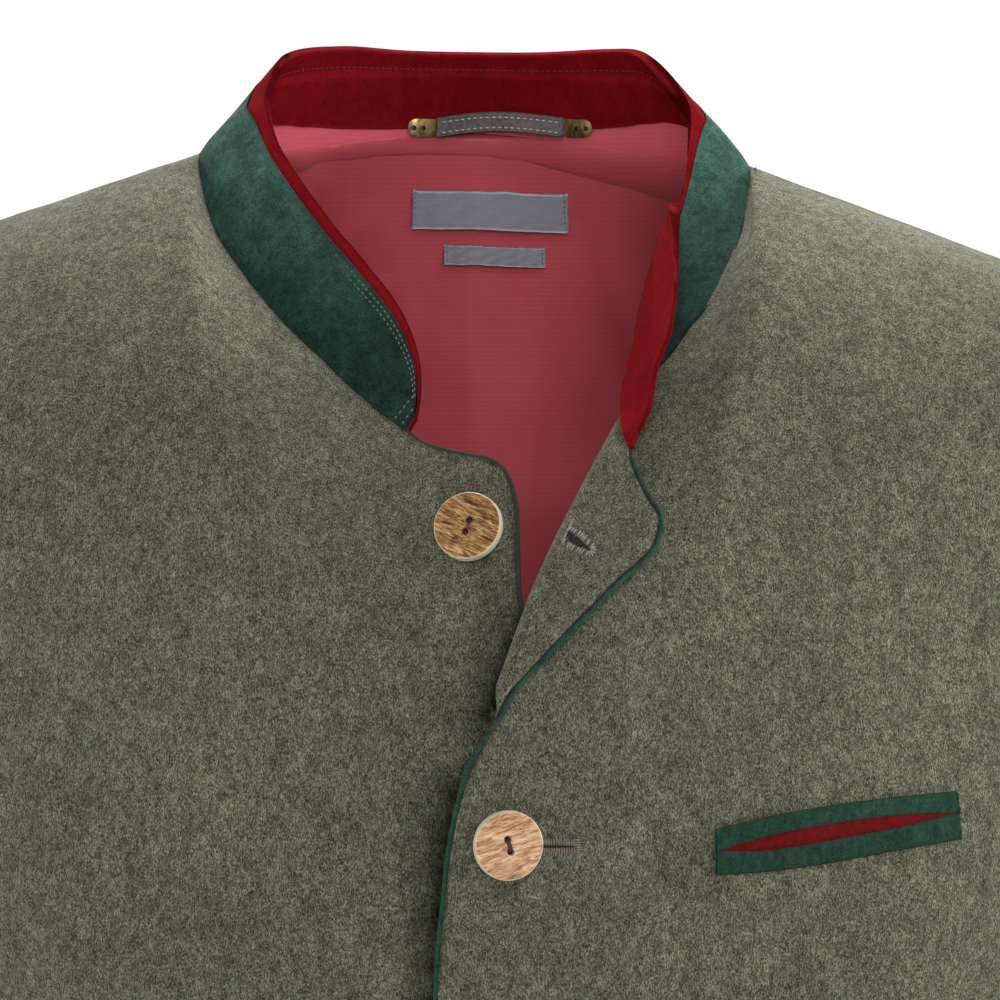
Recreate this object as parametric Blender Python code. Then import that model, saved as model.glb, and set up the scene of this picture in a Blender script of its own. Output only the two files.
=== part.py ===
"""Tyrolean loden jacket, filled out as it is worn, with nobody in it.

Each piece that is cut out or sewn on is one closed solid with a real wall. Metres, +Z up.
The front faces -Y and the wearer's left is +X. The origin lies between the two ends of the
shoulder seams at the neck, where the jacket is held up.

The body is drawn on one side with x counted from the centre line, then turned over for the
other side. The neckline belongs to both sides, because the left front is turned back.
"""
import math

import bmesh
import bpy
from mathutils import Matrix, Vector

# Walls and seams
LODEN = 0.0020
CORNER_WALL = 0.0024
FELT = 0.0018
WELT_WALL = 0.0015
SATIN = 0.0010
GAP = 0.0003
SEAM_SHARE = 0.99925
TRIM = 0.0002
LINING_GAP = 0.0008
LABEL_GAP = 0.0014
COLLAR_LIFT = 0.0007
CURL_LIFT = 0.0024
CURL_START = 0.86
CURL_SPAN = 0.05

# Heights
HEM_Z = -0.700
YOKE_Z = -0.262

# Columns of each half of a panel under the neck, the shoulder seam and the armhole, and rows
NECK_COLUMNS = 8
SHOULDER_COLUMNS = 4
ARM_COLUMNS = 8
PANEL_COLUMNS = NECK_COLUMNS + SHOULDER_COLUMNS + ARM_COLUMNS
FRONT_ROWS = 20
BACK_ROWS = 16
SLEEVE_ROWS = 22
CORNER_ROWS = 13
CORNER_COLUMNS = 12
ROLL_PART = 0.35
NECK_SHARE = NECK_COLUMNS / PANEL_COLUMNS
SHOULDER_SHARE = NECK_SHARE + SHOULDER_COLUMNS / PANEL_COLUMNS
HEM_SHARE = 0.46
TOP_RISE = 0.9992
BELOW_TOP = 0.97
TINY = 0.00001
RISE_REACH = 1.1
BELOW_YOKE = 0.02

# Small steps along a form, from which its directions are taken, and tries at finding a place
FORM_STEP = 0.0005
FIND_STEP = 0.0004
FIND_START = (0.2, 0.6)
FIND_LOWEST = (0.002, 0.001)
FIND_HIGHEST = (0.995, 0.9985)
FIND_TRIES = 14
EDGE_TRIES = 24
EDGE_REACH = 0.9
SLEEVE_STEP = 0.01
CORNER_STEP = 0.01
CORNER_AHEAD = 0.002
COLLAR_STEPS = (0.002, 0.02)

# Piping, buttons, hanger and labels
PIPING_R = 0.0016
PIPING_TOP_POINTS = 4
PIPING_TOP_START = -0.016
PIPING_TOP_STEP = 0.014
PIPING_TOP_OUT = 1.15
PIPING_CORNER_OUT = 1.3
PIPING_CORNER_BESIDE = 0.05
PIPING_BESIDE = 0.02
LAP_SINK = 0.3
CORD_OUT = PIPING_R + 3 * GAP
ROLL_R = LODEN / 2 + 2 * GAP + CORNER_WALL
BUTTON_R = 0.0115
BUTTON_T = 0.0040
BUTTON_HOLE_R = 0.0011
BUTTON_HOLE_APART = 0.0042
BUTTON_STEP = 0.101
TAB_SIZE = (0.0100, 0.0010, 0.0066)
STRAP_HEIGHT = 0.0066
STRAP_WALL = 0.0020
STRAP_BOW = 0.0035
TAB_SHARES = (0.4630, 0.5748)
TAB_INSET = 0.0103
TAB_HEIGHTS = (0.04, 0.15)
STRAP_RISE = 0.002
LABEL_WALL = 0.0010
LABELS = (
    # name, left, right, low, high
    ("label_main", -0.0225, 0.0338, -0.0184, -0.0044),
    ("label_small", -0.0103, 0.0250, -0.0312, -0.0244),
)

# Faces along the small pieces
BUTTON_SIDES = 24
HOLE_SIDES = 8
LABEL_FACES = (8, 2)
STRAP_FACES = (12, 2)
WELT_FACES = 2

# The body below the yoke, as level sections
SQUARENESS = 2.5
BODY = (
    # height, half width, front depth, back depth
    (-0.700, 0.230, 0.127, 0.131),
    (-0.600, 0.220, 0.125, 0.129),
    (-0.500, 0.208, 0.122, 0.119),
    (-0.400, 0.199, 0.122, 0.107),
    (-0.310, 0.200, 0.127, 0.113),
    (-0.262, 0.203, 0.130, 0.120),
)

# Where the columns of a panel start on the yoke's lower edge, in degrees from the centre
COLUMNS = (
    # share of the panel, front angle, back angle
    (0.0, -10.5, 0.0),
    (NECK_SHARE, 38.0, 36.0),
    (SHOULDER_SHARE, 63.0, 60.0),
    (1.0, 90.0, 90.0),
)

# The neckline seam, from the corner of the right front round the back to the left front
NECK = (
    # share, x, y, z
    (-0.1000, 0.0160, -0.1020, -0.1060),
    (-0.0500, -0.0020, -0.0990, -0.1038),
    (-0.0120, -0.0170, -0.0945, -0.1003),
    (0.0000, -0.0218, -0.0920, -0.0970),
    (0.0375, -0.0376, -0.0815, -0.0845),
    (0.0850, -0.0565, -0.0685, -0.0668),
    (0.1180, -0.0684, -0.0580, -0.0550),
    (0.1535, -0.0797, -0.0465, -0.0410),
    (0.1910, -0.0892, -0.0315, -0.0265),
    (0.2336, -0.0945, -0.0130, -0.0095),
    (0.2600, -0.0957, 0.0000, 0.0000),
    (0.3145, -0.0867, 0.0275, 0.0026),
    (0.3786, -0.0615, 0.0498, 0.0085),
    (0.4440, -0.0296, 0.0618, 0.0131),
    (0.5000, 0.0000, 0.0650, 0.0145),
    (0.5560, 0.0296, 0.0618, 0.0131),
    (0.6214, 0.0615, 0.0498, 0.0085),
    (0.6855, 0.0867, 0.0275, 0.0026),
    (0.7400, 0.0957, 0.0000, 0.0000),
    (0.7742, 0.0945, -0.0165, -0.0125),
    (0.8130, 0.0905, -0.0345, -0.0270),
    (0.8614, 0.0815, -0.0545, -0.0465),
    (0.8931, 0.0732, -0.0665, -0.0590),
    (0.9253, 0.0640, -0.0785, -0.0712),
    (0.9640, 0.0492, -0.0895, -0.0857),
    (0.9920, 0.0360, -0.0955, -0.0945),
    (1.0310, 0.0150, -0.1010, -0.1035),
    (1.0830, -0.0160, -0.1035, -0.1080),
)
NECK_FRONTS = (-0.100, 1.083)
NECK_RIGHT_SIDE = 0.26
NECK_BACK = 0.50
NECK_LEFT_SIDE = 0.74
SIDE_NECK = Vector((0.0957, 0.0, 0.0))
SHOULDER_POINT = Vector((0.2320, 0.0, -0.0480))

# How the cloth runs where a column meets the neckline, shoulder seam or armhole, and how far
# the column is drawn in on its way up, so that it passes inside the armhole
FRONT_RISE = (
    # share of the panel, x, y, z, drawn in
    (0.0, 0.0, 0.42, 0.90, 0.0),
    (NECK_SHARE, 0.0, 0.97, 0.24, 0.0),
    (0.50, 0.0, 1.00, 0.06, 0.008),
    (SHOULDER_SHARE, 0.0, 1.00, 0.04, 0.019),
    (0.68, 0.20, 0.75, 0.60, 0.012),
    (0.74, 0.20, 0.55, 0.80, 0.005),
    (0.80, 0.20, 0.40, 0.88, 0.001),
    (1.0, 0.0, 0.05, 1.00, 0.0),
)
BACK_RISE = (
    # share of the panel, x, y, z, drawn in
    (0.0, 0.0, -0.45, 0.89, 0.0),
    (NECK_SHARE, 0.0, -0.98, 0.17, 0.0),
    (0.50, 0.0, -1.00, 0.06, 0.005),
    (SHOULDER_SHARE, 0.0, -1.00, 0.04, 0.012),
    (0.68, 0.15, -0.75, 0.60, 0.008),
    (0.74, 0.15, -0.55, 0.80, 0.004),
    (0.80, 0.15, -0.40, 0.90, 0.001),
    (1.0, 0.0, -0.05, 1.00, 0.0),
)
DRAW_PEAK = 6.75

# Front edges, counted from the centre line towards the front's own side
EDGE_RIGHT = (
    # height, x
    (-0.7000, -0.0200),
    (-0.2620, -0.0195),
    (-0.2000, -0.0160),
    (-0.1500, -0.0108),
    (-0.1220, -0.0100),
    (-0.1130, -0.0080),
    (-0.1075, -0.0040),
    (-0.1045, 0.0015),
    (-0.1020, 0.0080),
)
EDGE_LEFT = (
    # height, x
    (-0.7000, -0.0200),
    (-0.2834, -0.0192),
    (-0.2402, -0.0154),
    (-0.2260, -0.0120),
    (-0.2138, -0.0068),
    (-0.1943, 0.0011),
    (-0.1738, 0.0103),
    (-0.1532, 0.0191),
    (-0.1362, 0.0274),
    (-0.1172, 0.0373),
    (-0.1001, 0.0464),
    (-0.0920, 0.0512),
    (-0.0850, 0.0588),
    (-0.0780, 0.0656),
)

# The turned-back corner: its roll line and its piped edge
CORNER = (
    # share, roll x, roll z, edge x, edge z
    (0.00, -0.0012, -0.1890, 0.0050, -0.1870),
    (0.15, 0.0030, -0.1795, 0.0170, -0.1755),
    (0.32, 0.0085, -0.1670, 0.0310, -0.1622),
    (0.50, 0.0150, -0.1520, 0.0450, -0.1488),
    (0.66, 0.0215, -0.1385, 0.0560, -0.1375),
    (0.80, 0.0290, -0.1235, 0.0603, -0.1265),
    (0.90, 0.0375, -0.1075, 0.0578, -0.1185),
    (1.00, 0.0485, -0.0880, 0.0530, -0.1060),
)
CORNER_LIFT = 0.0035
CORNER_LIFT_RISE = 2.5
# Where the left piping crosses from the turned corner to the front edge: x, z
LAP_CROSSING = ((0.0028, -0.1918), (-0.0032, -0.1995), (-0.0080, -0.2075), (-0.0112, -0.2165))

# The collar's upper edge, with how far its middle swells outwards
COLLAR = (
    # share of the neckline, x, y, z, swell
    (0.0000, -0.0212, -0.0912, -0.0935, 0.0000),
    (0.0120, -0.0195, -0.0870, -0.0840, 0.0002),
    (0.0250, -0.0200, -0.0800, -0.0725, 0.0010),
    (0.0450, -0.0262, -0.0695, -0.0580, 0.0015),
    (0.0850, -0.0392, -0.0575, -0.0416, 0.0020),
    (0.1180, -0.0503, -0.0475, -0.0289, 0.0020),
    (0.1535, -0.0619, -0.0365, -0.0136, 0.0020),
    (0.1910, -0.0709, -0.0235, 0.0006, 0.0020),
    (0.2350, -0.0753, -0.0085, 0.0144, 0.0020),
    (0.2750, -0.0755, 0.0060, 0.0220, 0.0020),
    (0.3145, -0.0700, 0.0215, 0.0330, 0.0020),
    (0.3786, -0.0500, 0.0405, 0.0378, 0.0020),
    (0.4440, -0.0245, 0.0515, 0.0380, 0.0015),
    (0.5000, 0.0000, 0.0545, 0.0383, 0.0015),
    (0.5560, 0.0245, 0.0515, 0.0384, 0.0015),
    (0.6214, 0.0505, 0.0405, 0.0388, 0.0020),
    (0.6520, 0.0615, 0.0320, 0.0375, 0.0020),
    (0.6855, 0.0710, 0.0215, 0.0304, 0.0020),
    (0.7250, 0.0778, 0.0095, 0.0205, 0.0020),
    (0.7650, 0.0785, 0.0010, 0.0125, 0.0015),
    (0.7900, 0.0768, -0.0080, 0.0036, 0.0005),
    (0.8150, 0.0741, -0.0180, -0.0088, -0.0015),
    (0.8380, 0.0700, -0.0320, -0.0231, -0.0060),
    (0.8650, 0.0667, -0.0530, -0.0371, -0.0110),
    (0.8931, 0.0647, -0.0740, -0.0523, -0.0130),
    (0.9150, 0.0635, -0.0890, -0.0645, -0.0120),
    (0.9430, 0.0602, -0.0975, -0.0771, -0.0080),
    (0.9700, 0.0566, -0.1060, -0.0894, -0.0030),
    (1.0000, 0.0518, -0.1125, -0.0985, 0.0000),
)
# The left end of the collar's seam, which goes over the roll on to the turned corner
COLLAR_TIP = (
    # share of the neckline, x, y, z
    (0.9253, 0.0640, -0.0785, -0.0712),
    (0.9500, 0.0578, -0.0865, -0.0780),
    (0.9700, 0.0536, -0.0965, -0.0838),
    (0.9850, 0.0528, -0.1040, -0.0885),
    (1.0000, 0.0532, -0.1085, -0.0940),
)
TIP_STEADY = 0.975
RED_EDGE = 1.12
COLLAR_COLUMNS = 50
COLLAR_ROWS = 4

# The armhole, as a ring seen from the side
ARMHOLE_Z = -0.1415
ARMHOLE_HALF_HEIGHT = 0.0935
ARMHOLE_FRONT = 0.062
ARMHOLE_BACK = 0.070
ARMHOLE_X = (0.20725, 0.0145, 0.01025, 0.0070)

# The sleeve, as rings through an outer and an inner point
SLEEVE = (
    # share, outer x, outer z, inner x, inner z, centre y, front half, back half
    (0.00, 0.2320, -0.0480, 0.2030, -0.2350, 0.000, 0.062, 0.070),
    (0.05, 0.2570, -0.0545, 0.2090, -0.2395, 0.000, 0.066, 0.071),
    (0.11, 0.2830, -0.0740, 0.2140, -0.2480, 0.000, 0.069, 0.071),
    (0.18, 0.3050, -0.1090, 0.2170, -0.2620, 0.000, 0.070, 0.070),
    (0.27, 0.3210, -0.1640, 0.2180, -0.2850, -0.001, 0.068, 0.068),
    (0.38, 0.3290, -0.2380, 0.2170, -0.3250, -0.003, 0.065, 0.066),
    (0.50, 0.3320, -0.3250, 0.2180, -0.3850, -0.005, 0.062, 0.063),
    (0.62, 0.3330, -0.4150, 0.2220, -0.4550, -0.010, 0.059, 0.060),
    (0.80, 0.3330, -0.5350, 0.2310, -0.5560, -0.022, 0.053, 0.054),
    (1.00, 0.3320, -0.6520, 0.2420, -0.6520, -0.038, 0.047, 0.047),
)
CAP_SHARE = 0.15

# Large soft folds: a place, a lean from level, and the fold's own sizes
FRONT_FOLDS = (
    # x, z, lean in degrees, length, width, height
    (0.150, -0.185, 55, 0.060, 0.018, -0.0030),
    (0.125, -0.330, 78, 0.100, 0.024, 0.0030),
    (0.172, -0.430, 84, 0.110, 0.022, -0.0045),
    (0.090, -0.560, 88, 0.120, 0.030, 0.0030),
    (0.150, -0.620, 86, 0.090, 0.024, -0.0035),
)
BACK_FOLDS = (
    # x, z, lean in degrees, length, width, height
    (0.165, -0.215, 58, 0.060, 0.018, -0.0040),
    (0.060, -0.420, 86, 0.130, 0.026, -0.0050),
    (0.125, -0.470, 82, 0.120, 0.024, 0.0040),
    (0.030, -0.600, 88, 0.100, 0.028, 0.0040),
    (0.105, -0.625, 86, 0.080, 0.022, -0.0045),
)
SLEEVE_FOLDS = (
    # turn in degrees, share, lean of the fold, turn width, share width, height
    (70, 0.52, 0.0012, 50, 0.030, -0.0045),
    (110, 0.60, -0.0010, 55, 0.028, -0.0050),
    (85, 0.69, 0.0008, 45, 0.030, -0.0035),
    (250, 0.56, 0.0008, 40, 0.035, -0.0030),
    (200, 0.36, 0.0010, 40, 0.030, -0.0035),
    (150, 0.84, -0.0006, 60, 0.030, 0.0025),
)

# How the left front lies over the right one
LAP_LIFT = (
    # height, lift at the edge
    (-0.700, 0.0036),
    (-0.270, 0.0040),
    (-0.205, 0.0060),
    (-0.150, 0.0060),
    (-0.120, 0.0020),
    (-0.090, 0.0000),
)
LAP_HOLD = 0.026
LAP_FADE = 0.060

# The breast pocket on the left front
POCKET = (
    # x, top, top of the inset, bottom of the inset, bottom
    (0.0724, -0.2265, -0.2338, -0.2338, -0.2411),
    (0.0855, -0.2236, -0.2299, -0.2341, -0.2406),
    (0.1003, -0.2207, -0.2266, -0.2325, -0.2391),
    (0.1169, -0.2184, -0.2242, -0.2298, -0.2367),
    (0.1334, -0.2166, -0.2223, -0.2269, -0.2338),
    (0.1534, -0.2149, -0.2220, -0.2222, -0.2307),
)
POCKET_START = 0.0724
POCKET_END = 0.1534
INSET_MARGIN = 0.006
POCKET_COLUMNS = 10

# Set of the neck: a small shift and a small roll towards the wearer's left
NECK_SHIFT = -0.008
NECK_ROLL = -0.022
SET_LOW = -0.26
SET_SPAN = 0.20

# Colours as linear values, and roughness, metal
LOOKS = {
    "loden": ((0.105, 0.103, 0.078), 0.95, 0.0),
    "green_felt": ((0.008, 0.075, 0.048), 0.9, 0.0),
    "red_felt": ((0.22, 0.006, 0.012), 0.9, 0.0),
    "satin": ((0.24, 0.035, 0.05), 0.45, 0.0),
    "horn": ((0.42, 0.20, 0.07), 0.4, 0.0),
    "leather": ((0.09, 0.07, 0.07), 0.6, 0.0),
    "brass": ((0.40, 0.30, 0.10), 0.35, 1.0),
    "label": ((0.17, 0.17, 0.22), 0.5, 0.0),
}


def clear_scene():
    for thing in list(bpy.data.objects):
        bpy.data.objects.remove(thing, do_unlink=True)


def look(name):
    """The Principled material of one cloth or trim."""
    found = bpy.data.materials.get(name)
    if found:
        return found
    colour, roughness, metal = LOOKS[name]
    made = bpy.data.materials.new(name)
    made.use_nodes = True
    shader = made.node_tree.nodes["Principled BSDF"]
    shader.inputs["Base Color"].default_value = (*colour, 1.0)
    shader.inputs["Roughness"].default_value = roughness
    shader.inputs["Metallic"].default_value = metal
    return made


def ease(value):
    """0 to 1 with soft ends."""
    value = min(max(value, 0.0), 1.0)
    return value * value * (3 - 2 * value)


def spline(rows, at):
    """Smooth values of a table at one place of its first column."""
    at = min(max(at, rows[0][0]), rows[-1][0])
    low = max(i for i in range(len(rows) - 1) if rows[i][0] <= at)
    a, b = rows[low], rows[low + 1]
    before = rows[low - 1] if low > 0 else a
    after = rows[low + 2] if low + 2 < len(rows) else b
    span = b[0] - a[0]
    f = (at - a[0]) / span
    values = []
    for c in range(1, len(a)):
        enter = (b[c] - before[c]) / (b[0] - before[0])
        leave = (after[c] - a[c]) / (after[0] - a[0])
        near = a[c] * (2 * f ** 3 - 3 * f ** 2 + 1) + b[c] * (3 * f ** 2 - 2 * f ** 3)
        values.append(near + span * (enter * (f ** 3 - 2 * f ** 2 + f) + leave * (f ** 3 - f ** 2)))
    return values


def settle(point):
    """The neck sits a little to the wearer's right and rolls towards the left."""
    set_share = ease((point.z - SET_LOW) / SET_SPAN)
    return Vector((point.x + NECK_SHIFT * set_share, point.y,
                   point.z + NECK_ROLL * point.x * set_share))


# ------------------------------------------------------------------ the body's form
def section(height, degrees):
    """A point of the level section at one height, at an angle from the centre front."""
    width, front, back = spline(BODY, height)
    across = math.sin(math.radians(degrees))
    ahead = math.cos(math.radians(degrees))
    depth = front if ahead > 0 else back
    reach = abs(across / width) ** SQUARENESS + abs(ahead / depth) ** SQUARENESS
    reach = reach ** (-1 / SQUARENESS)
    return Vector((reach * across, -reach * ahead, height))


def armhole(turn):
    """The armhole ring: 0 at the shoulder point, then forwards and down."""
    middle, top_out, hollow, front_in = ARMHOLE_X
    depth = ARMHOLE_FRONT if math.sin(turn) > 0 else ARMHOLE_BACK
    x = middle + top_out * math.cos(turn) + hollow * math.cos(2 * turn)
    return Vector((x - front_in * math.sin(turn), -depth * math.sin(turn),
                   ARMHOLE_Z + ARMHOLE_HALF_HEIGHT * math.cos(turn)))


def neck_share(panel, share):
    """Where a column of a panel meets the neckline seam."""
    first, last = NECK_FRONTS
    ends = {"right": (first, NECK_RIGHT_SIDE), "left": (last, NECK_LEFT_SIDE),
            "back_right": (NECK_BACK, NECK_RIGHT_SIDE), "back_left": (NECK_BACK, NECK_LEFT_SIDE)}
    start, end = ends[panel]
    return start + (end - start) * share / NECK_SHARE


def top_of(panel, share):
    """The upper end of a column, with x counted towards the panel's own side."""
    if share < NECK_SHARE:
        point = Vector(spline(NECK, neck_share(panel, share)))
        if panel.endswith("right"):
            point.x = -point.x
        return point
    if share < SHOULDER_SHARE:
        along = (share - NECK_SHARE) / (SHOULDER_SHARE - NECK_SHARE)
        return SIDE_NECK.lerp(SHOULDER_POINT, along)
    turn = math.pi * (share - SHOULDER_SHARE) / (1 - SHOULDER_SHARE)
    return armhole(-turn if panel.startswith("back") else turn)


def plain(panel, share, rise):
    """A point of a panel's form before it is lapped, folded or turned to its side."""
    back = panel.startswith("back")
    front_angle, back_angle = spline(COLUMNS, share)
    angle = 180 - back_angle if back else front_angle
    if rise < HEM_SHARE:
        return section(HEM_Z + (YOKE_Z - HEM_Z) * rise / HEM_SHARE, angle)
    start = section(YOKE_Z, angle)
    leave = (start - section(YOKE_Z - BELOW_YOKE, angle)).normalized()
    end = top_of(panel, share)
    *arrive, drawn_in = spline(BACK_RISE if back else FRONT_RISE, share)
    arrive = Vector(arrive).normalized()
    reach = (end - start).length * RISE_REACH
    f = (rise - HEM_SHARE) / (1 - HEM_SHARE)
    point = (start * (2 * f ** 3 - 3 * f ** 2 + 1) + end * (3 * f ** 2 - 2 * f ** 3)
             + leave * reach * (f ** 3 - 2 * f ** 2 + f) + arrive * reach * (f ** 3 - f ** 2))
    return point - Vector((drawn_in * DRAW_PEAK * f ** 2 * (1 - f), 0, 0))


def fold_height(folds, x, z):
    """How far the large folds raise or sink the cloth at one place."""
    height = 0.0
    for fold_x, fold_z, lean, length, width, depth in folds:
        tilt = math.radians(lean)
        along = (x - fold_x) * math.cos(tilt) + (z - fold_z) * math.sin(tilt)
        across = (z - fold_z) * math.cos(tilt) - (x - fold_x) * math.sin(tilt)
        height += depth * math.exp(-(along / length) ** 2 - (across / width) ** 2)
    return height


def outward(panel, share, rise):
    """The direction out of the cloth, with x counted towards the panel's own side."""
    ahead = plain(panel, share + FORM_STEP, rise) - plain(panel, share - FORM_STEP, rise)
    low, high = max(rise - FORM_STEP, 0.0), min(rise + FORM_STEP, 1.0)
    up = plain(panel, share, high) - plain(panel, share, low)
    normal = ahead.cross(up).normalized()
    return -normal if panel.startswith("back") else normal


def body(panel, share, rise, out=0.0):
    """A point of a panel, moved out of the cloth by some distance, on its own side."""
    point = plain(panel, share, rise)
    folds = BACK_FOLDS if panel.startswith("back") else FRONT_FOLDS
    raised = out + fold_height(folds, point.x, point.z)
    if panel == "left":
        edge_lift, = spline(LAP_LIFT, point.z)
        raised += edge_lift * (1 - ease((point.x - LAP_HOLD) / LAP_FADE))
    point = point + outward(panel, share, rise) * raised
    if panel.endswith("right"):
        point.x = -point.x
    return settle(point)


def find(panel, x, z):
    """The share and rise at which a panel's form has one x and one height."""
    share, rise = FIND_START
    for _ in range(FIND_TRIES):
        at = plain(panel, share, rise)
        by_share = (plain(panel, share + FIND_STEP, rise) - at) / FIND_STEP
        by_rise = (plain(panel, share, rise + FIND_STEP) - at) / FIND_STEP
        size = by_share.x * by_rise.z - by_rise.x * by_share.z
        miss_x, miss_z = x - at.x, z - at.z
        share += (miss_x * by_rise.z - miss_z * by_rise.x) / size
        rise += (by_share.x * miss_z - by_share.z * miss_x) / size
        share = min(max(share, FIND_LOWEST[0]), FIND_HIGHEST[0])
        rise = min(max(rise, FIND_LOWEST[1]), FIND_HIGHEST[1])
    return share, rise


def on_front(panel, x, z, out):
    """A point over a front at one x and one height."""
    share, rise = find(panel, x, z)
    return body(panel, share, rise, out)


def edge_share(panel, rise):
    """The share at which a row of a front reaches its front edge."""
    rows = EDGE_LEFT if panel == "left" else EDGE_RIGHT
    low, high = 0.0, NECK_SHARE * EDGE_REACH
    for _ in range(EDGE_TRIES):
        middle = (low + high) / 2
        point = plain(panel, middle, rise)
        edge, = spline(rows, point.z)
        if point.x < edge:
            low = middle
        else:
            high = middle
    return (low + high) / 2


def front_point(panel, across, rise, out):
    """A point of a front: across runs from the front edge to the side seam."""
    if across < NECK_SHARE:
        edge = edge_share(panel, rise)
        share = edge + (NECK_SHARE - edge) * across / NECK_SHARE
    else:
        share = across
    return body(panel, share, rise, out)


# ------------------------------------------------------------------ making solids
def add_object(name, mesh, finish):
    piece = bpy.data.objects.new(name, mesh)
    bpy.context.scene.collection.objects.link(piece)
    mesh.materials.append(look(finish))
    return piece


def finish_mesh(name, bm, finish):
    """Close, face outwards and shade one solid."""
    bmesh.ops.recalc_face_normals(bm, faces=bm.faces)
    if bm.calc_volume(signed=True) < 0:
        bmesh.ops.reverse_faces(bm, faces=bm.faces)
    mesh = bpy.data.meshes.new(name)
    bm.to_mesh(mesh)
    bm.free()
    mesh.shade_smooth()
    mesh.set_sharp_from_angle(angle=math.radians(40))
    return add_object(name, mesh, finish)


def wall(name, finish, place, across, along, thickness, ring=False):
    """A closed wall of cloth. place(u, v, depth) gives its points, depth being 0 outside."""
    bm = bmesh.new()
    bmesh.ops.create_grid(bm, x_segments=across, y_segments=along, size=0.5)
    outside = list(bm.faces)
    grown = bmesh.ops.extrude_face_region(bm, geom=outside, use_keep_orig=True)
    inner = [e for e in grown["geom"] if isinstance(e, bmesh.types.BMVert)]
    bmesh.ops.translate(bm, vec=(0, 0, 1), verts=inner)
    if ring:
        seam = [f for f in bm.faces if all(abs(v.co.x + 0.5) < 1e-6 for v in f.verts)
                or all(abs(v.co.x - 0.5) < 1e-6 for v in f.verts)]
        bmesh.ops.delete(bm, geom=seam, context="FACES")
    for vert in bm.verts:
        vert.co = place(vert.co.x + 0.5, vert.co.y + 0.5, vert.co.z * thickness)
    if ring:
        bmesh.ops.remove_doubles(bm, verts=bm.verts, dist=1e-6)
    return finish_mesh(name, bm, finish)


def cord(name, finish, points, radius):
    """A round cord along points, with closed ends."""
    curve = bpy.data.curves.new(name, "CURVE")
    curve.dimensions = "3D"
    curve.bevel_depth = radius
    curve.bevel_resolution = 1
    curve.use_fill_caps = True
    line = curve.splines.new("POLY")
    line.points.add(len(points) - 1)
    for point, place in zip(line.points, points):
        point.co = (*place, 1.0)
    return add_object(name, curve, finish)


# ------------------------------------------------------------------ loden panels
def make_front(panel):
    def place(u, v, depth):
        return front_point(panel, u * SEAM_SHARE, v * SEAM_SHARE, -depth)
    wall("front_" + panel, "loden", place, PANEL_COLUMNS, FRONT_ROWS, LODEN)


def back_place(u, v, depth):
    """A point of the back: u runs from the wearer's right side seam to the left one."""
    share = abs(2 * u - 1) * SEAM_SHARE
    panel = "back_right" if u < 0.5 else "back_left"
    return body(panel, max(share, TINY), v * SEAM_SHARE, -depth)


def make_back():
    wall("back", "loden", back_place, 2 * PANEL_COLUMNS, BACK_ROWS, LODEN)


def make_lining():
    """The lining between the armholes, on the back's own rows, from one row above the hem."""
    start = 1 / BACK_ROWS
    columns = 2 * (NECK_COLUMNS + SHOULDER_COLUMNS)

    def place(u, v, depth):
        across = 0.5 + (u - 0.5) * SHOULDER_SHARE
        return back_place(across, start + (1 - start) * v, LODEN + LINING_GAP + depth)
    wall("lining", "satin", place, columns, BACK_ROWS - 1, SATIN)


def sleeve_point(side, turn, share, depth):
    """A point of a sleeve: turn is 0 on the outside, then runs to the front."""
    def ring(at):
        outer_x, outer_z, inner_x, inner_z, middle_y, front, back = spline(SLEEVE, at)
        outer, inner = Vector((outer_x, middle_y, outer_z)), Vector((inner_x, middle_y, inner_z))
        half = front if math.sin(turn) > 0 else back
        return ((outer + inner) / 2 + (outer - inner) / 2 * math.cos(turn)
                - Vector((0, half * math.sin(turn), 0))), (outer + inner) / 2
    point, middle = ring(share)
    fade = max(0.0, 1 - share / CAP_SHARE) ** 2
    point = point + (armhole(turn) - ring(0.0)[0]) * fade
    out = -depth
    degrees = math.degrees(turn) % 360
    for fold_turn, fold_share, lean, turn_width, share_width, height in SLEEVE_FOLDS:
        off = (degrees - fold_turn + 180) % 360 - 180
        rise = share - fold_share - lean * off
        out += height * math.exp(-(off / turn_width) ** 2 - (rise / share_width) ** 2)
    ahead, _ = ring(min(share + SLEEVE_STEP, 1.0))
    behind, _ = ring(max(share - SLEEVE_STEP, 0.0))
    along = (ahead - behind).normalized()
    away = point - middle
    away = (away - along * away.dot(along)).normalized()
    point = point + away * out + Vector((2 * GAP, 0, 0))
    if side == "right":
        point.x = -point.x
    return settle(point)


def make_sleeve(side):
    def place(u, v, depth):
        return sleeve_point(side, 2 * math.pi * u, v, depth)
    wall("sleeve_" + side, "loden", place, 2 * ARM_COLUMNS, SLEEVE_ROWS, LODEN, ring=True)


def corner_line(share, first):
    """A point of the roll line (first 0) or the piped edge (first 2), and the way off it."""
    low = spline(CORNER, share - CORNER_STEP)[first:first + 2]
    high = spline(CORNER, share + CORNER_STEP)[first:first + 2]
    along = Vector((high[0] - low[0], high[1] - low[1])).normalized()
    return Vector(spline(CORNER, share)[first:first + 2]), Vector((along.y, -along.x))


def corner_point(across, share, depth):
    """The turned-back corner: across is below 0 round the roll and 1 at the piped edge."""
    roll, inward = corner_line(share, 0)
    edge, off = corner_line(share, 2)
    start = roll + inward * ROLL_R
    end = edge - off * CORD_OUT
    shell = CORNER_WALL - depth
    if across >= 0:
        lift = CORNER_LIFT * ease(across) * ease(share * CORNER_LIFT_RISE)
        return on_front("left", *start.lerp(end, across), 2 * GAP + shell + lift)
    top = on_front("left", *start, 0.0)
    under = on_front("left", *start, -LODEN)
    ahead = on_front("left", *(start + inward * CORNER_AHEAD), 0.0)
    middle, out = (top + under) / 2, (top - under).normalized()
    away = (top - ahead).normalized()
    turn = -across * math.pi
    radius = LODEN / 2 + 2 * GAP + shell
    return middle + out * radius * math.cos(turn) + away * radius * math.sin(turn)


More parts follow.
